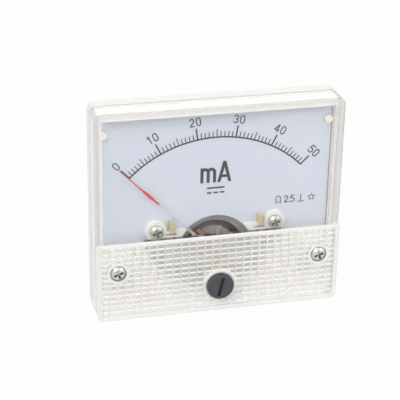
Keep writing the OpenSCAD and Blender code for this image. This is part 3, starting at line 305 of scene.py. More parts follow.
@dataclass(frozen=True)
class ClearPlastic:
    """Clear polystyrene, injection moulded: clear in its window, milky where it is thick, with highlights painted
    as milky white in its grooves and along its plain rim.

    Attributes:
        name: The material's common name and how its surface was made.
        colour: Its sRGB hex colour in depth.
        milk_and_highlight: The sRGB hex colour of the light that its thick walls scatter, also the colour of the
            highlights painted in its grooves and along its rim.
        ior: Polystyrene's refractive index.
        roughness: Its polish.
        shadow: The sRGB hex colour of the light that it lets through to a shadow.
        wall: Thickness of its side walls, in millimetres.
        ledge: Height where the textured panel starts, in millimetres.
        pattern: Width and height of the field of cells, in millimetres.
        line_pitch: Distance between the fine lines along its walls, in millimetres.
        wall_milk: Share of light that the side walls scatter.
        panel_milk: Share of light that the flat tops of the cells scatter.
        groove_milk_and_highlight: Share of milky white in the grooves between the cells, which stands for both
            their scatter and the highlights painted along their bevels.
        boss_milk: Share of light that the thick bosses scatter.
        rim_milk_and_highlight: Share of milky white on the plain rim round the cells, which stands for both its
            scatter and a highlight painted along it.
        cell: Width and height of a moulded cell, in millimetres.
        groove_half: Half the width of a groove that is painted bright, in millimetres.
        crease_half: Half the width of the dark crease down an upright groove.
        middle: Height of the middle of the pattern, in millimetres.
        face: Place of the panel's front face along Y, in millimetres.
        bosses: X, Z and radius of each boss, in millimetres.
        line_fade: Width of a fine line, as a share of the distance between them.
        line_faint: Share of the walls' milk that is left in a fine line.
        front_depth: How deep behind the front face the cells reach, in millimetres.
        flow_scale: Number of flow marks in a metre.
        flow_strength: How strongly the flow marks bend the light, from 0 to 1.
        flow_relief: Height of the flow marks, in millimetres.
        edge: Radius that catches the light along its edges, in millimetres.
        milk_roughness: Roughness of its milky places.
    """

    name: str = "clear polystyrene, injection moulded"
    colour: str = "FCFCFA"
    milk_and_highlight: str = "FCFBF8"
    ior: float = 1.5
    roughness: float = 0.03
    shadow: str = "F8F8F6"
    wall: float = 1.9
    ledge: float = -6.35
    pattern: tuple[float, float] = (61.5, 19.5)
    line_pitch: float = 1.9
    wall_milk: float = 0.74
    panel_milk: float = 0.42
    groove_milk_and_highlight: float = 0.88
    boss_milk: float = 0.9
    rim_milk_and_highlight: float = 0.9
    cell: tuple[float, float] = (2.05, 1.5)
    groove_half: float = 0.25
    crease_half: float = 0.09
    middle: float = -16.925
    face: float = PANEL_FACE
    bosses: tuple[tuple[float, float, float], ...] = (
        (0.0, -20.5, 4.5), (-26.5, -14.5, 2.9), (26.5, -14.5, 2.9))
    line_fade: float = 0.35
    line_faint: float = 0.45
    front_depth: float = 0.45
    flow_scale: float = 90.0
    flow_strength: float = 0.5
    flow_relief: float = 0.02
    edge: float = 0.05
    milk_roughness: float = 0.22

    def walls(self, tree: bpy.types.NodeTree, split: bpy.types.Node) -> bpy.types.NodeSocket:
        """Gives the share of the side walls, fainter in the fine lines along them.

        Args:
            tree: The material's tree.
            split: The node that gives X, Y and Z, in metres.

        Returns:
            The socket that holds the share.
        """
        sides = []
        for axis, half in (("X", cad_box[1][0]), ("Z", cad_box[1][2])):
            out = node(tree, "ShaderNodeMath", {0: split.outputs[axis]}, operation="ABSOLUTE")
            sides.append(node(tree, "ShaderNodeMath", {0: out.outputs[0]},
                              {1: half - self.wall * MM}, operation="GREATER_THAN").outputs[0])
        wall = node(tree, "ShaderNodeMath", {0: sides[0], 1: sides[1]}, operation="MAXIMUM")
        lines = node(tree, "ShaderNodeMath", {0: split.outputs["Y"]},
                     {1: self.line_pitch / 2 * MM}, operation="PINGPONG")
        fainter = node(tree, "ShaderNodeMapRange", {"Value": lines.outputs[0]},
                       {"From Max": self.line_fade * self.line_pitch * MM,
                        "To Min": self.line_faint * self.wall_milk,
                        "To Max": self.wall_milk})
        return node(tree, "ShaderNodeMath", {0: wall.outputs[0], 1: fainter.outputs[0]},
                    operation="MULTIPLY").outputs[0]

    def bevels(self, tree: bpy.types.NodeTree, split: bpy.types.Node) -> bpy.types.NodeSocket:
        """Marks the grooves between the cells, less the crease down an upright one.

        Args:
            tree: The material's tree.
            split: The node that gives X, Y and Z, in metres.

        Returns:
            The socket that is 1 in a groove and 0 outside it.
        """
        across = self.groove(tree, split.outputs["X"], self.cell[0], 0.0, self.groove_half)
        crease = self.groove(tree, split.outputs["X"], self.cell[0], 0.0, self.crease_half)
        upward = self.groove(tree, split.outputs["Z"], self.cell[1],
                             self.middle + self.cell[1] / 2, self.groove_half)
        both = node(tree, "ShaderNodeMath", {0: across, 1: upward}, operation="MAXIMUM")
        return node(tree, "ShaderNodeMath", {0: both.outputs[0], 1: crease},
                    operation="SUBTRACT", use_clamp=True).outputs[0]

    def rim(self, tree: bpy.types.NodeTree, split: bpy.types.Node) -> bpy.types.NodeSocket:
        """Marks the plain rim round the field of cells.

        Args:
            tree: The material's tree.
            split: The node that gives X, Y and Z, in metres.

        Returns:
            The socket that is 1 outside the field and 0 in it.
        """
        sideways = node(tree, "ShaderNodeMath", {0: split.outputs["X"]}, operation="ABSOLUTE")
        beside = node(tree, "ShaderNodeMath", {0: sideways.outputs[0]},
                      {1: self.pattern[0] / 2 * MM}, operation="GREATER_THAN")
        centred = node(tree, "ShaderNodeMath", {0: split.outputs["Z"]},
                       {1: -self.middle * MM}, operation="ADD")
        upright = node(tree, "ShaderNodeMath", {0: centred.outputs[0]}, operation="ABSOLUTE")
        beyond = node(tree, "ShaderNodeMath", {0: upright.outputs[0]},
                      {1: self.pattern[1] / 2 * MM}, operation="GREATER_THAN")
        return node(tree, "ShaderNodeMath", {0: beside.outputs[0], 1: beyond.outputs[0]},
                    operation="MAXIMUM").outputs[0]

    def panel(self, tree: bpy.types.NodeTree,
              split: bpy.types.Node) -> list[bpy.types.NodeSocket]:
        """Gives the shares of the cells' tops, the grooves and the plain rim.

        Args:
            tree: The material's tree.
            split: The node that gives X, Y and Z, in metres.

        Returns:
            The sockets that hold the shares, 0 above the ledge and behind the front.
        """
        low = node(tree, "ShaderNodeMath", {0: split.outputs["Z"]},
                   {1: self.ledge * MM}, operation="LESS_THAN")
        front = node(tree, "ShaderNodeMath", {0: split.outputs["Y"]},
                     {1: (self.face + self.front_depth) * MM}, operation="LESS_THAN")
        shares = []
        # The grooves and the plain rim take milky white that also paints their highlights
        for source, milk_and_highlight in ((low.outputs[0], self.panel_milk),
                             (self.bevels(tree, split), self.groove_milk_and_highlight),
                             (self.rim(tree, split), self.rim_milk_and_highlight)):
            kept = node(tree, "ShaderNodeMath", {0: source, 1: low.outputs[0]},
                        operation="MULTIPLY")
            faced = node(tree, "ShaderNodeMath", {0: kept.outputs[0], 1: front.outputs[0]},
                         operation="MULTIPLY")
            shares.append(node(tree, "ShaderNodeMath", {0: faced.outputs[0]},
                               {1: milk_and_highlight}, operation="MULTIPLY").outputs[0])
        return shares

    def thick_bosses(self, tree: bpy.types.NodeTree,
                     split: bpy.types.Node) -> list[bpy.types.NodeSocket]:
        """Gives the share of each boss.

        Args:
            tree: The material's tree.
            split: The node that gives X, Y and Z, in metres.

        Returns:
            The sockets that hold the shares.
        """
        flat = node(tree, "ShaderNodeCombineXYZ",
                    {"X": split.outputs["X"], "Z": split.outputs["Z"]}).outputs[0]
        shares = []
        for x, z, radius in self.bosses:
            away = node(tree, "ShaderNodeVectorMath", {0: flat},
                        {1: (x * MM, 0.0, z * MM)}, operation="DISTANCE")
            near = node(tree, "ShaderNodeMath", {0: away.outputs["Value"]},
                        {1: radius * MM}, operation="LESS_THAN")
            shares.append(node(tree, "ShaderNodeMath", {0: near.outputs[0]},
                               {1: self.boss_milk}, operation="MULTIPLY").outputs[0])
        return shares

    def haze_and_highlight(self, tree: bpy.types.NodeTree) -> bpy.types.NodeSocket:
        """Gives the share of scattered light by how thick the moulding is, with highlights painted in the grooves
        and along the plain rim.

        Args:
            tree: The material's tree.

        Returns:
            The socket that holds the share, from 0 in the window upward.
        """
        place = node(tree, "ShaderNodeTexCoord").outputs["Object"]
        split = node(tree, "ShaderNodeSeparateXYZ", {0: place})
        most = self.walls(tree, split)
        for share in self.panel(tree, split) + self.thick_bosses(tree, split):
            most = node(tree, "ShaderNodeMath", {0: most, 1: share},
                        operation="MAXIMUM").outputs[0]
        return most

    def groove(self, tree: bpy.types.NodeTree, along: bpy.types.NodeSocket,
               pitch: float, first: float, half: float) -> bpy.types.NodeSocket:
        """Marks a band along the middle of the grooves that cross one axis.

        Args:
            tree: The material's tree.
            along: The place along that axis, in metres.
            pitch: Distance from groove to groove, in millimetres.
            first: Place of one groove, in millimetres.
            half: Half the width of the band, in millimetres.

        Returns:
            The socket that is 1 in the band and 0 outside it.
        """
        moved = node(tree, "ShaderNodeMath", {0: along}, {1: -first * MM}, operation="ADD")
        away = node(tree, "ShaderNodeMath", {0: moved.outputs[0]}, {1: pitch / 2 * MM},
                    operation="PINGPONG")
        return node(tree, "ShaderNodeMath", {0: away.outputs[0]},
                    {1: half * MM}, operation="LESS_THAN").outputs[0]

    def build(self) -> bpy.types.Material:
        """Builds the material, which lets light through to what lies behind it.

        Returns:
            The finished material.
        """
        made = bpy.data.materials.new(self.name)
        made.use_nodes = True
        tree = made.node_tree
        shader = tree.nodes["Principled BSDF"]
        shader.inputs["Base Color"].default_value = linear(self.colour)
        shader.inputs["Transmission Weight"].default_value = 1.0
        shader.inputs["IOR"].default_value = self.ior
        shader.inputs["Roughness"].default_value = self.roughness
        place = node(tree, "ShaderNodeTexCoord").outputs["Object"]
        flow = node(tree, "ShaderNodeTexNoise", {"Vector": place}, {"Scale": self.flow_scale})
        soft = node(tree, "ShaderNodeBevel", None, {"Radius": self.edge * MM}, samples=4)
        bump = node(tree, "ShaderNodeBump",
                    {"Height": flow.outputs[0], "Normal": soft.outputs[0]},
                    {"Strength": self.flow_strength, "Distance": self.flow_relief * MM})
        tree.links.new(bump.outputs[0], shader.inputs["Normal"])
        # Milky white for the thick walls and bosses, and for the highlights painted in the grooves and along the
        # rim
        milky_and_highlight = node(tree, "ShaderNodeBsdfPrincipled", {"Normal": bump.outputs[0]},
                     {"Base Color": linear(self.milk_and_highlight), "Roughness": self.milk_roughness,
                      "IOR": self.ior})
        thick = node(tree, "ShaderNodeMixShader",
                     {0: self.haze_and_highlight(tree), 1: shader.outputs[0], 2: milky_and_highlight.outputs[0]})
        shade = node(tree, "ShaderNodeLightPath").outputs["Is Shadow Ray"]
        through = node(tree, "ShaderNodeBsdfTransparent", None,
                       {"Color": linear(self.shadow)})
        both = node(tree, "ShaderNodeMixShader",
                    {0: shade, 1: thick.outputs[0], 2: through.outputs[0]})
        tree.links.new(both.outputs[0], tree.nodes["Material Output"].inputs["Surface"])
        return made


PIVOT_HEIGHT = frame["joints"][0]["pos_m"][2]

# One finish for each of the record's slots
FINISHES: dict[str, Finish | ClearPlastic] = {
    # Moulded ABS: even, warm, a soft sheen
    "ivory_plastic": Finish("abs, injection moulded", "F6F4EE", "F0EDE4", 0.4, 0.36,
                            grain=0.5, relief=0.003, edge=0.15),
    # Moulded polystyrene: clear as glass in front of the dial, milky in its walls, with highlights painted milky
    # white in its grooves and rim
    "clear_plastic": ClearPlastic(),
    # Nickel-plated steel, turned: bright with faint rings, with shade painted into its corners and slots
    "plated_steel": Finish("nickel plated steel, turned", "D6D4D0", "B4B2AE", 0.4, 0.26,
                           metallic=1.0, grain=0.15, relief=0.002, edge=0.06, crevice_shade=0.8),
    # Enamelled aluminium sheet: a cool white, nearly flat
    "dial_paint": Finish("dial enamel, sprayed", "D9DEEF", "D3D9EC", 0.35, 0.5,
                         grain=0.25, relief=0.002),
    # Screen-printed ink: dull and slightly raised
    "dial_ink": Finish("dial ink, screen printed", "151518", "1E1E22", 0.4, 0.6,
                       grain=0.1, relief=0.002),
    # Moulded nylon: tan and slightly waxy
    "post_plastic": Finish("nylon, moulded", "CDBF9E", "BBAA86", 0.4, 0.45, grain=0.3),
    # Glass-filled nylon: a pale stone colour with a dull, faintly mottled skin
    "frame_plastic": Finish("glass filled nylon, moulded", "D9D4C6", "CBC5B4", 0.4, 0.5,
                            grain=0.3, edge=0.1),
    # Soft iron, phosphated: a dull grey coat that still takes a soft highlight
    "soft_iron": Finish("soft iron, phosphated", "A3A19C", "8A8883", 0.5, 0.38, metallic=0.35,
                        grain=0.2, relief=0.004, edge=0.08),
    # Cast alloy, ground: grey, with a broad highlight and fine pits
    "magnet_alloy": Finish("magnet alloy, cast and ground", "B2AFA9", "96938D", 0.5, 0.4,
                           metallic=0.4, grain=0.3, relief=0.006),
    # Turned brass: yellow, with soft highlights
    "brass": Finish("brass, turned", "C6A25A", "A98644", 0.4, 0.28, metallic=1.0,
                    grain=0.15, edge=0.05),
    # Pressed aluminium: pale, neither bright nor dull
    "bridge_metal": Finish("aluminium, pressed", "CFCFCE", "B5B5B4", 0.4, 0.32,
                           metallic=1.0, grain=0.2, relief=0.003, edge=0.06),
    # Thin aluminium strip: pale, folded to the coil's frame
    "coil_aluminium": Finish("aluminium strip, formed", "D2D2D1", "BCBCBB", 0.4, 0.3,
                             metallic=1.0, grain=0.2),
    # Enamelled copper wire, wound: orange-brown. The real turns are too fine to show, so
    # the lines are drawn about 0.14 mm apart, coarse enough to read as a winding
    "coil_copper": Finish("enamelled copper wire, wound", "CFA088", "A67A62", 0.5, 0.3,
                          metallic=1.0, grain=0.14, relief=0.03, stretch=(12.0, 1.0, 12.0)),
    # Polished steel: a thin bright line on each shaft
    "pivot_steel": Finish("steel, polished", "BFBFC1", "A5A5A7", 0.3, 0.18, metallic=1.0,
                          grain=0.1, relief=0.001),
    # Synthetic ruby: deep red with a hard glint
    "jewel_glass": Finish("synthetic ruby, polished", "9E1B30", "7F1225", 0.3, 0.08,
                          ior=1.76, grain=0.3, relief=0.0005),
    # Rolled bronze strip: a warm thin line round each hairspring
    "spring_bronze": Finish("phosphor bronze strip, rolled", "B98050", "9A6438", 0.4, 0.3,
                            metallic=1.0, grain=0.1),
    # Dipped lacquer: signal red towards the tip, the bare stem silvery
    "pointer_paint": TwoTone("pointer lacquer, dipped", "D63A2C", "C22F22", 0.3, 0.4,
                             grain=0.2, axis_height=PIVOT_HEIGHT),
    # Black phenolic, moulded: dark grey where the light catches its fine matt
    "adjuster_plastic": Finish("phenolic, moulded matt", "414046", "515057", 0.5, 0.5,
                               grain=0.15, relief=0.012, edge=0.15),
    # Moulded phenolic paper: brown, dull
    "bobbin_plastic": Finish("phenolic paper, moulded", "8A6038", "74502E", 0.4, 0.5,
                             grain=0.3),
    # Varnished manganin wire: dark brown, drawn with lines coarser than the real turns
    "shunt_wire": Finish("manganin wire, varnished", "8F5C38", "6E4428", 0.5, 0.35,
                         metallic=1.0, grain=0.2, relief=0.03, stretch=(1.0, 12.0, 12.0)),
    # Extruded PVC: two saturated colours with a soft sheen
    "red_lead": Finish("pvc insulation, red, extruded", "A8231F", "8E1B18", 0.3, 0.42,
                       grain=0.3),
    "blue_lead": Finish("pvc insulation, blue, extruded", "1E2666", "171D52", 0.3, 0.42,
                        grain=0.3),
}


def dress_nodes() -> dict[str, bpy.types.Material]:
    """Gives every CAD node the finish of its slot.

    Returns:
        The material of each slot.
    """
    made = {slot: finish.build() for slot, finish in FINISHES.items()}
    for row in frame["record"]["subparts"]:
        piece = frame["nodes"][row["node"]]
        piece.data.materials.clear()
        piece.data.materials.append(made[row["material_slot"]])
        log.info("%s: %s", row["node"], row["material_slot"])
    return made


def only(*pieces: bpy.types.Object) -> None:
    """Selects the named objects and nothing else, the first one active."""
    bpy.ops.object.select_all(action="DESELECT")
    for piece in pieces:
        piece.select_set(True)
    bpy.context.view_layer.objects.active = pieces[0]


def settle(piece: bpy.types.Object) -> None:
    """Applies an object's place, turn and scale to its mesh."""
    only(piece)
    bpy.ops.object.transform_apply(location=True, rotation=True, scale=True)


def finish_with(piece: bpy.types.Object, kind: str, **settings: object) -> None:
    """Adds one modifier with its settings and applies it.

    Args:
        piece: The object to shape.
        kind: The modifier's type name.
        **settings: The modifier's own properties.
    """
    only(piece)
    made = piece.modifiers.new(kind.lower(), kind)
    for key, value in settings.items():
        setattr(made, key, value)
    bpy.ops.object.modifier_apply(modifier=made.name)


def chamfer(piece: bpy.types.Object, width: float, segments: int, above: float) -> None:
    """Bevels the sharp edges of a piece.

    Args:
        piece: The object to shape.
        width: Width of the bevel, in millimetres.
        segments: Number of steps across it.
        above: Least angle of an edge that is bevelled, in degrees.
    """
    finish_with(piece, "BEVEL", width=width * MM, segments=segments,
                angle_limit=math.radians(above))


def prism(radius: float, depth: float, middle: float, sides: int,
          turn: float = 0.0) -> bpy.types.Object:
    """Adds a prism or a cylinder along Y.

    Args:
        radius: Radius to its corners, in millimetres.
        depth: Its length, in millimetres.
        middle: Y of its middle, in millimetres.
        sides: Number of its sides.
        turn: How far it is turned round Y, in radians.

    Returns:
        The new object, its place in its mesh.
    """
    bpy.ops.object.select_all(action="DESELECT")
    bpy.ops.mesh.primitive_cylinder_add(
        vertices=sides, radius=radius * MM, depth=depth * MM,
        location=(0, middle * MM, 0), rotation=(ALONG_Y, turn, 0))
    made = bpy.context.object
    settle(made)
    return made


def copies_at(model: Sequence[bpy.types.Object],
              places: Sequence[tuple[float, float, float]]) -> list[bpy.types.Object]:
    """Copies a model to each place, each copy with its own mesh, and drops the model.

    Args:
        model: The parts of the model.
        places: X, Y and Z of each copy, in millimetres.

    Returns:
        The copies, their places in their meshes.
    """
    made = []
    for place in places:
        for part in model:
            twin = part.copy()
            twin.data = part.data.copy()
            bpy.context.scene.collection.objects.link(twin)
            twin.location = tuple(v * MM for v in place)
            settle(twin)
            made.append(twin)
    for part in model:
        bpy.data.objects.remove(part)
    return made


def hand_in(parts: Sequence[bpy.types.Object], name: str, nodes: Sequence[str],
            look: bpy.types.Material, body: str = "root") -> bpy.types.Object:
    """Joins parts to one piece, dresses it and puts it on its body.

    Args:
        parts: The meshes to join.
        name: The finished piece's name.
        nodes: The CAD nodes that it stands for.
        look: Its material.
        body: The body that it rides on.

    Returns:
        The finished piece.
    """
    only(*parts)
    if len(parts) > 1:
        bpy.ops.object.join()
    piece = bpy.context.object
    piece.name = name
    settle(piece)
    bpy.ops.object.mode_set(mode="EDIT")
    bpy.ops.mesh.select_all(action="SELECT")
    bpy.ops.mesh.remove_doubles(threshold=MERGE_DISTANCE)
    bpy.ops.mesh.normals_make_consistent(inside=False)
    bpy.ops.object.mode_set(mode="OBJECT")
    bpy.ops.object.shade_smooth_by_angle(angle=CRISP_ANGLE)
    piece.data.materials.clear()
    piece.data.materials.append(look)
    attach(piece, body)
    if nodes:
        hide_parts(*nodes)
    log.info("%s stands for %s", name, ", ".join(nodes) or "no node")
    return piece


@dataclass
class ThreadedRods:
    """Equal rods along Y with a rolled thread, a chamfered tip and a head.

    Attributes:
        name: The finished piece's name.
        node: The CAD node that it stands for.
        radius: Outer radius of the thread, in millimetres.
        pitch: Distance from turn to turn, in millimetres.
        thread_from: Y where the thread starts, in millimetres.
        places: X and Z of each rod, in millimetres.
        head_radius: Radius of the head, to its corners if it has any.
        head_depth: Thickness of the head, in millimetres.
        head_sides: Number of sides of the head.
        neck_radius: Radius of the plain neck that fills the moulding's bore.
        tip_chamfer: Width of the chamfer at the tip, in millimetres.
        neck_chamfer: Width of the chamfer at the neck's ends, in millimetres.
        head_round: Width of the head's softened rim, in millimetres.
        sunk: How deep the thread's ridge stands in the core, in millimetres.
        tip_room: Length without a thread at the tip, in pitches.
        steps: Number of steps in one turn of the thread.
    """

    name: str
    node: str
    radius: float
    pitch: float
    thread_from: float
    places: Sequence[tuple[float, float]]
    head_radius: float
    head_depth: float
    head_sides: int
    neck_radius: float
    tip_chamfer: float = 0.25
    neck_chamfer: float = 0.08
    head_round: float = 0.12
    sunk: float = 0.05
    tip_room: float = 1.2
    steps: int = 20

    @property
    def start(self) -> float:
        """Y where the rod leaves its head, in millimetres."""
        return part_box(self.node)[0][1] / MM + self.head_depth

    @property
    def end(self) -> float:
        """Y of the rod's tip, in millimetres."""
        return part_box(self.node)[1][1] / MM

    def core(self) -> bpy.types.Object:
        """Turns the rod's core, with a chamfer at its tip.

        Returns:
            The core.
        """
        length = self.end - self.start
        made = prism(self.radius - THREAD_DEPTH * self.pitch, length,
                     self.start + length / 2, 40)
        chamfer(made, self.tip_chamfer, 1, 60)
        return made

    def neck(self) -> bpy.types.Object:
        """Turns the plain neck between the head and the thread.

        Returns:
            The neck.
        """
        length = self.thread_from - self.start
        made = prism(self.neck_radius, length, self.start + length / 2, 48)
        chamfer(made, self.neck_chamfer, 1, 60)
        return made

    def thread(self) -> bpy.types.Object:
        """Sweeps one ridge along a right-handed helix and closes its ends.

        Returns:
            The thread.
        """
        bpy.ops.object.select_all(action="DESELECT")
        # The ridge is a triangle, whose height is 1.5 times the radius round its corners
        section = (THREAD_DEPTH * self.pitch + self.sunk) / 1.5
        length = self.end - self.thread_from
        turns = int((length - self.tip_room * self.pitch) / self.pitch)
        bpy.ops.mesh.primitive_circle_add(
            vertices=3, radius=section * MM, fill_type="NOTHING",
            location=((self.radius - section) * MM, 0, 0),
            rotation=(math.pi / 2, math.pi / 2, 0))
        made = bpy.context.object
        settle(made)
        finish_with(made, "SCREW", axis="Z", angle=2 * math.pi, steps=self.steps,
                    render_steps=self.steps, screw_offset=self.pitch * MM,
                    iterations=turns)
        made.rotation_euler = (ALONG_Y, 0, 0)
        made.location = (0, (self.thread_from + 0.5 * self.pitch) * MM, 0)
        settle(made)
        bpy.ops.object.mode_set(mode="EDIT")
        bpy.ops.mesh.select_all(action="SELECT")
        bpy.ops.mesh.fill_holes(sides=0)
        bpy.ops.object.mode_set(mode="OBJECT")
        return made

    def head(self) -> bpy.types.Object:
        """Makes the head, its corners towards X, with a softened rim.

        Returns:
            The head.
        """
        made = prism(self.head_radius, self.head_depth, self.start - self.head_depth / 2,
                     self.head_sides, math.pi / 6)
        chamfer(made, self.head_round, 2, 50)
        return made

    def build(self, look: bpy.types.Material) -> bpy.types.Object:
        """Builds every rod as one piece.

        Args:
            look: The rods' material.

        Returns:
            The finished piece.
        """
        model = [self.core(), self.neck(), self.thread(), self.head()]
        parts = copies_at(model, [(x, 0, z) for x, z in self.places])
        return hand_in(parts, self.name, [self.node], look)


@dataclass
class HexNuts:
    """Chamfered hexagon nuts along Y.

    Attributes:
        name: The finished piece's name.
        node: The CAD node that it stands for.
        corner: Radius to a corner, in millimetres.
        bore: Radius of the bore, in millimetres.
        thickness: Thickness of one nut, in millimetres.
        starts: Y of the near face of each nut, in millimetres.
        places: X and Z of each pair, in millimetres.
        corner_cut: Width of the chamfer at a corner, in millimetres.
        spare: How far the chamfered blank stands past a corner, in millimetres.
        spare_depth: How much thicker than the nut the blank is, in millimetres.
    """

    name: str
    node: str
    corner: float
    bore: float
    thickness: float
    starts: Sequence[float]
    places: Sequence[tuple[float, float]]
    corner_cut: float = 0.42
    spare: float = 0.01
    spare_depth: float = 0.002

    def nut(self) -> bpy.types.Object:
        """Cuts one nut from a hexagon, a chamfered blank and a bore.

        Returns:
            The nut, on the origin.
        """
        made = prism(self.corner, self.thickness, 0, 6, math.pi / 6)
        blank = prism(self.corner + self.spare, self.thickness + self.spare_depth, 0, 72,
                      math.pi / 6)
        chamfer(blank, self.corner_cut, 1, 60)
        hole = prism(self.bore, 2 * self.thickness, 0, 40, math.pi / 6)
        finish_with(made, "BOOLEAN", operation="INTERSECT", solver="EXACT", object=blank)
        finish_with(made, "BOOLEAN", operation="DIFFERENCE", solver="EXACT", object=hole)
        for tool in (blank, hole):
            bpy.data.objects.remove(tool)
        return made

    def build(self, look: bpy.types.Material) -> bpy.types.Object:
        """Builds every nut as one piece.

        Args:
            look: The nuts' material.

        Returns:
            The finished piece.
        """
        half = self.thickness / 2
        parts = copies_at([self.nut()], [(x, start + half, z) for x, z in self.places
                                         for start in self.starts])
        return hand_in(parts, self.name, [self.node], look)


@dataclass
class AdjusterBead:
    """The moulded bead round the adjuster's bore, part of the clear cover.

    Attributes:
        radius: Radius of the bead's middle, in millimetres.
        thickness: Radius of its section across the panel, in millimetres.
        rise: How far it stands off the panel, in millimetres.
        top_share: Where its flat top lies, as a share of its rise.
        segments: Number of steps round it.
        section_steps: Number of steps round its section.
    """

    radius: float = 3.98
    thickness: float = 0.3
    rise: float = 0.32
    top_share: float = 0.8
    segments: int = 96
    section_steps: int = 20

    def build(self, look: bpy.types.Material) -> bpy.types.Object:
        """Builds the bead and flattens its top a little.

        Args:
            look: The bead's material.

        Returns:
            The finished piece.
        """
        low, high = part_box("zero_adjuster")
        middle = (low[2] + high[2]) / 2
        bpy.ops.object.select_all(action="DESELECT")
        bpy.ops.mesh.primitive_torus_add(
            major_segments=self.segments, minor_segments=self.section_steps,
            major_radius=self.radius * MM, minor_radius=self.thickness * MM,
            location=(0, PANEL_FACE * MM, middle), rotation=(math.pi / 2, 0, 0))
        made = bpy.context.object
        settle(made)
        bpy.ops.object.mode_set(mode="EDIT")
        bpy.ops.mesh.select_all(action="SELECT")
        bpy.ops.transform.resize(
            value=(1.0, self.rise / self.thickness, 1.0),
            center_override=(0, PANEL_FACE * MM, middle))
        bpy.ops.mesh.select_all(action="DESELECT")
        bpy.ops.object.mode_set(mode="OBJECT")
        top = (PANEL_FACE - self.top_share * self.rise) * MM
        for point in made.data.vertices:
            point.select = point.co.y < top
        bpy.ops.object.mode_set(mode="EDIT")
        bpy.ops.transform.resize(value=(1.0, 0.0, 1.0), center_override=(0, top, middle))
        bpy.ops.object.mode_set(mode="OBJECT")
        return hand_in([made], "adjuster_bead", [], look)


@dataclass
class BackFittings:
    """The mounting studs and the terminals at the back.

    Attributes:
        stud_span: Half the distance between the studs along X and Z, in millimetres.
        stud_radius: Outer radius of their thread, in millimetres.
        stud_pitch: Their thread's pitch, in millimetres.
        stud_thread_from: Y where their thread starts, in millimetres.
        stud_neck: Radius of their neck, in millimetres.
        stud_head: Radius and thickness of their head, in millimetres.
        stud_head_sides: Number of steps round their head.
        terminal_span: Half the distance between the terminals, in millimetres.
        terminal_radius: Outer radius of their thread, in millimetres.
        terminal_pitch: Their thread's pitch, in millimetres.
        terminal_thread_from: Y where their thread starts, in millimetres.
        terminal_head_depth: Thickness of their hexagon head, in millimetres.
        nut_bore: Radius of a nut's bore, in millimetres.
        nut_thickness: Thickness of a nut, in millimetres.
        nut_starts: Y of the near face of each nut on a terminal, in millimetres.
    """

    stud_span: tuple[float, float] = (25.0, 20.0)
    stud_radius: float = 1.5
    stud_pitch: float = 0.5
    stud_thread_from: float = -0.1
    stud_neck: float = 1.85
    stud_head: tuple[float, float] = (2.75, 1.4)
    stud_head_sides: int = 40
    terminal_span: float = 12.5
    terminal_radius: float = 2.0
    terminal_pitch: float = 0.7
    terminal_thread_from: float = 31.9
    terminal_head_depth: float = 2.4
    nut_bore: float = 2.05
    nut_thickness: float = 3.2
    nut_starts: tuple[float, float] = (32.8, 36.9)

    def studs(self, look: bpy.types.Material) -> None:
        """Builds the four mounting studs.

        Args:
            look: Their material.
        """
        across, upward = self.stud_span
        places = [(i * across, k * upward) for i in (-1, 1) for k in (-1, 1)]
        ThreadedRods("mounting_stud_threads", "mounting_studs", self.stud_radius,
                     self.stud_pitch, self.stud_thread_from, places, *self.stud_head,
                     self.stud_head_sides, self.stud_neck).build(look)

    def terminals(self, look: bpy.types.Material) -> None:
        """Builds the two terminals and their nuts, on the drum's axis.

        Args:
            look: Their material.
        """
        low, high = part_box("terminal_studs")
        axis = (low[2] + high[2]) / 2 / MM
        places = [(side * self.terminal_span, axis) for side in (-1, 1)]
        corner = high[0] / MM - self.terminal_span
        ThreadedRods("terminal_stud_threads", "terminal_studs", self.terminal_radius,
                     self.terminal_pitch, self.terminal_thread_from, places, corner,
                     self.terminal_head_depth, 6, self.terminal_radius).build(look)
        HexNuts("terminal_hex_nuts", "terminal_nuts", corner, self.nut_bore,
                self.nut_thickness, self.nut_starts, places).build(look)


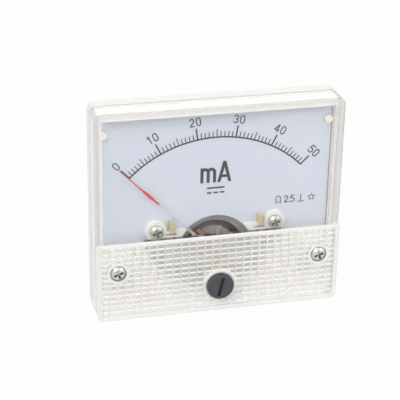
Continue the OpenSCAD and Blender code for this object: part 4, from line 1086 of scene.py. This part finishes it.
@dataclass
class Studio:
    """The floor, the soft light and the camera.

    Attributes:
        azimuth: Where the camera stands round Z, in degrees from -Y.
        elevation: Its height above the level, in degrees.
        roll: Its roll, in degrees.
        distance: Its distance from the origin, in millimetres.
        lens: Its focal length, in millimetres.
        slide: How far it slides right and up, in millimetres.
        floor_size: Width of the floor, in metres.
        floor_white: Share of plain white that the camera sees in the floor, from 0 to 1.
        paper: The floor's sRGB hex colour.
        paper_roughness: The floor's roughness.
        even_light: Strength of the even light from all round.
        sensor: Width of the camera's sensor, in millimetres.
        near: Nearest distance that the camera shows, in metres.
        lamps: Name, place in metres, width in metres and power in watts of each lamp.
    """

    azimuth: float = -14.513
    elevation: float = 24.710
    roll: float = 1.118
    distance: float = 356.658
    lens: float = 123.912
    slide: tuple[float, float] = (-2.641, -1.490)
    floor_size: float = 6.0
    floor_white: float = 0.93
    paper: str = "F4F4F4"
    paper_roughness: float = 0.9
    even_light: float = 0.45
    sensor: float = 36.0
    near: float = 0.01
    lamps: Sequence[tuple[str, tuple[float, float, float], float, float]] = field(
        default_factory=lambda: (
            ("key", (-0.55, -0.55, 0.85), 0.7, 5.5),
            ("fill", (0.75, -0.65, 0.45), 0.9, 2.6),
            ("back", (0.1, 0.75, 0.7), 0.8, 2.2),
        ))

    def white_for(self, tree: bpy.types.NodeTree, kinds: Sequence[Ray]) -> bpy.types.NodeSocket:
        """Tells the named kinds of ray from the others.

        Args:
            tree: The tree of the floor or of the world.
            kinds: The kinds of ray.

        Returns:
            The socket that is 1 for them and 0 for the others.
        """
        path = node(tree, "ShaderNodeLightPath")
        total = path.outputs[kinds[0].value]
        for kind in kinds[1:]:
            total = node(tree, "ShaderNodeMath", {0: total, 1: path.outputs[kind.value]},
                         operation="MAXIMUM").outputs[0]
        return total

    def floor(self) -> None:
        """Lays a pale floor that keeps a soft shadow on white."""
        bpy.ops.object.select_all(action="DESELECT")
        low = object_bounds()[0][2]
        bpy.ops.mesh.primitive_plane_add(size=self.floor_size, location=(0, 0, low))
        ground = bpy.context.object
        settle(ground)
        ground.name = "floor"
        paper = bpy.data.materials.new("seamless paper, white")
        paper.use_nodes = True
        tree = paper.node_tree
        shader = tree.nodes["Principled BSDF"]
        shader.inputs["Base Color"].default_value = linear(self.paper)
        shader.inputs["Roughness"].default_value = self.paper_roughness
        glow = node(tree, "ShaderNodeEmission", None, {"Color": (1, 1, 1, 1), "Strength": 1.0})
        seen = self.white_for(tree, (Ray.CAMERA, Ray.GLOSSY, Ray.TRANSMISSION))
        share = node(tree, "ShaderNodeMath", {0: seen}, {1: self.floor_white},
                     operation="MULTIPLY")
        both = node(tree, "ShaderNodeMixShader",
                    {0: share.outputs[0], 1: shader.outputs[0], 2: glow.outputs[0]})
        tree.links.new(both.outputs[0], tree.nodes["Material Output"].inputs["Surface"])
        ground.data.materials.append(paper)
        ground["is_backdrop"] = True

    def light(self) -> None:
        """Sets an even world and three soft lamps."""
        world = bpy.data.worlds.new("studio")
        bpy.context.scene.world = world
        world.use_nodes = True
        tree = world.node_tree
        even = tree.nodes["Background"]
        even.inputs["Color"].default_value = (1, 1, 1, 1)
        even.inputs["Strength"].default_value = self.even_light
        white = node(tree, "ShaderNodeBackground", None,
                     {"Color": (1, 1, 1, 1), "Strength": 1.0})
        seen = self.white_for(tree, (Ray.CAMERA, Ray.GLOSSY, Ray.TRANSMISSION))
        both = node(tree, "ShaderNodeMixShader",
                    {0: seen, 1: even.outputs[0], 2: white.outputs[0]})
        tree.links.new(both.outputs[0], tree.nodes["World Output"].inputs["Surface"])
        for name, place, size, power in self.lamps:
            lamp = bpy.data.lights.new(name, "AREA")
            lamp.size = size
            lamp.energy = power
            holder = bpy.data.objects.new(name, lamp)
            holder.location = place
            aim = Vector((0, 0, 0)) - Vector(place)
            holder.rotation_euler = aim.to_track_quat("-Z", "Y").to_euler()
            bpy.context.scene.collection.objects.link(holder)

    def camera(self) -> None:
        """Stands the camera at its measured place."""
        a, e, r = (math.radians(v) for v in (self.azimuth, self.elevation, self.roll))
        back = Vector((math.sin(a) * math.cos(e), -math.cos(a) * math.cos(e), math.sin(e)))
        right = Vector((0, 0, 1)).cross(back).normalized()
        up = back.cross(right)
        across = right * math.cos(r) + up * math.sin(r)
        upward = up * math.cos(r) - right * math.sin(r)
        place = back * self.distance + across * self.slide[0] + upward * self.slide[1]
        lens = bpy.data.cameras.new("camera")
        lens.lens = self.lens
        lens.sensor_width = self.sensor
        lens.clip_start = self.near
        holder = bpy.data.objects.new("camera", lens)
        turn = Matrix((across, upward, back)).transposed().to_4x4()
        holder.matrix_world = Matrix.Translation(place * MM) @ turn
        bpy.context.scene.collection.objects.link(holder)
        bpy.context.scene.camera = holder


def main() -> None:
    """Builds the scene in order."""
    logging.basicConfig(level=logging.INFO, format="%(name)s: %(message)s")
    bpy.context.scene.view_settings.view_transform = "Standard"
    studio = Studio()
    studio.camera()
    looks = dress_nodes()
    fittings = BackFittings()
    fittings.studs(looks["plated_steel"])
    fittings.terminals(looks["plated_steel"])
    AdjusterBead().build(looks["clear_plastic"])
    studio.floor()
    studio.light()


if __name__ == "__main__":
    main()
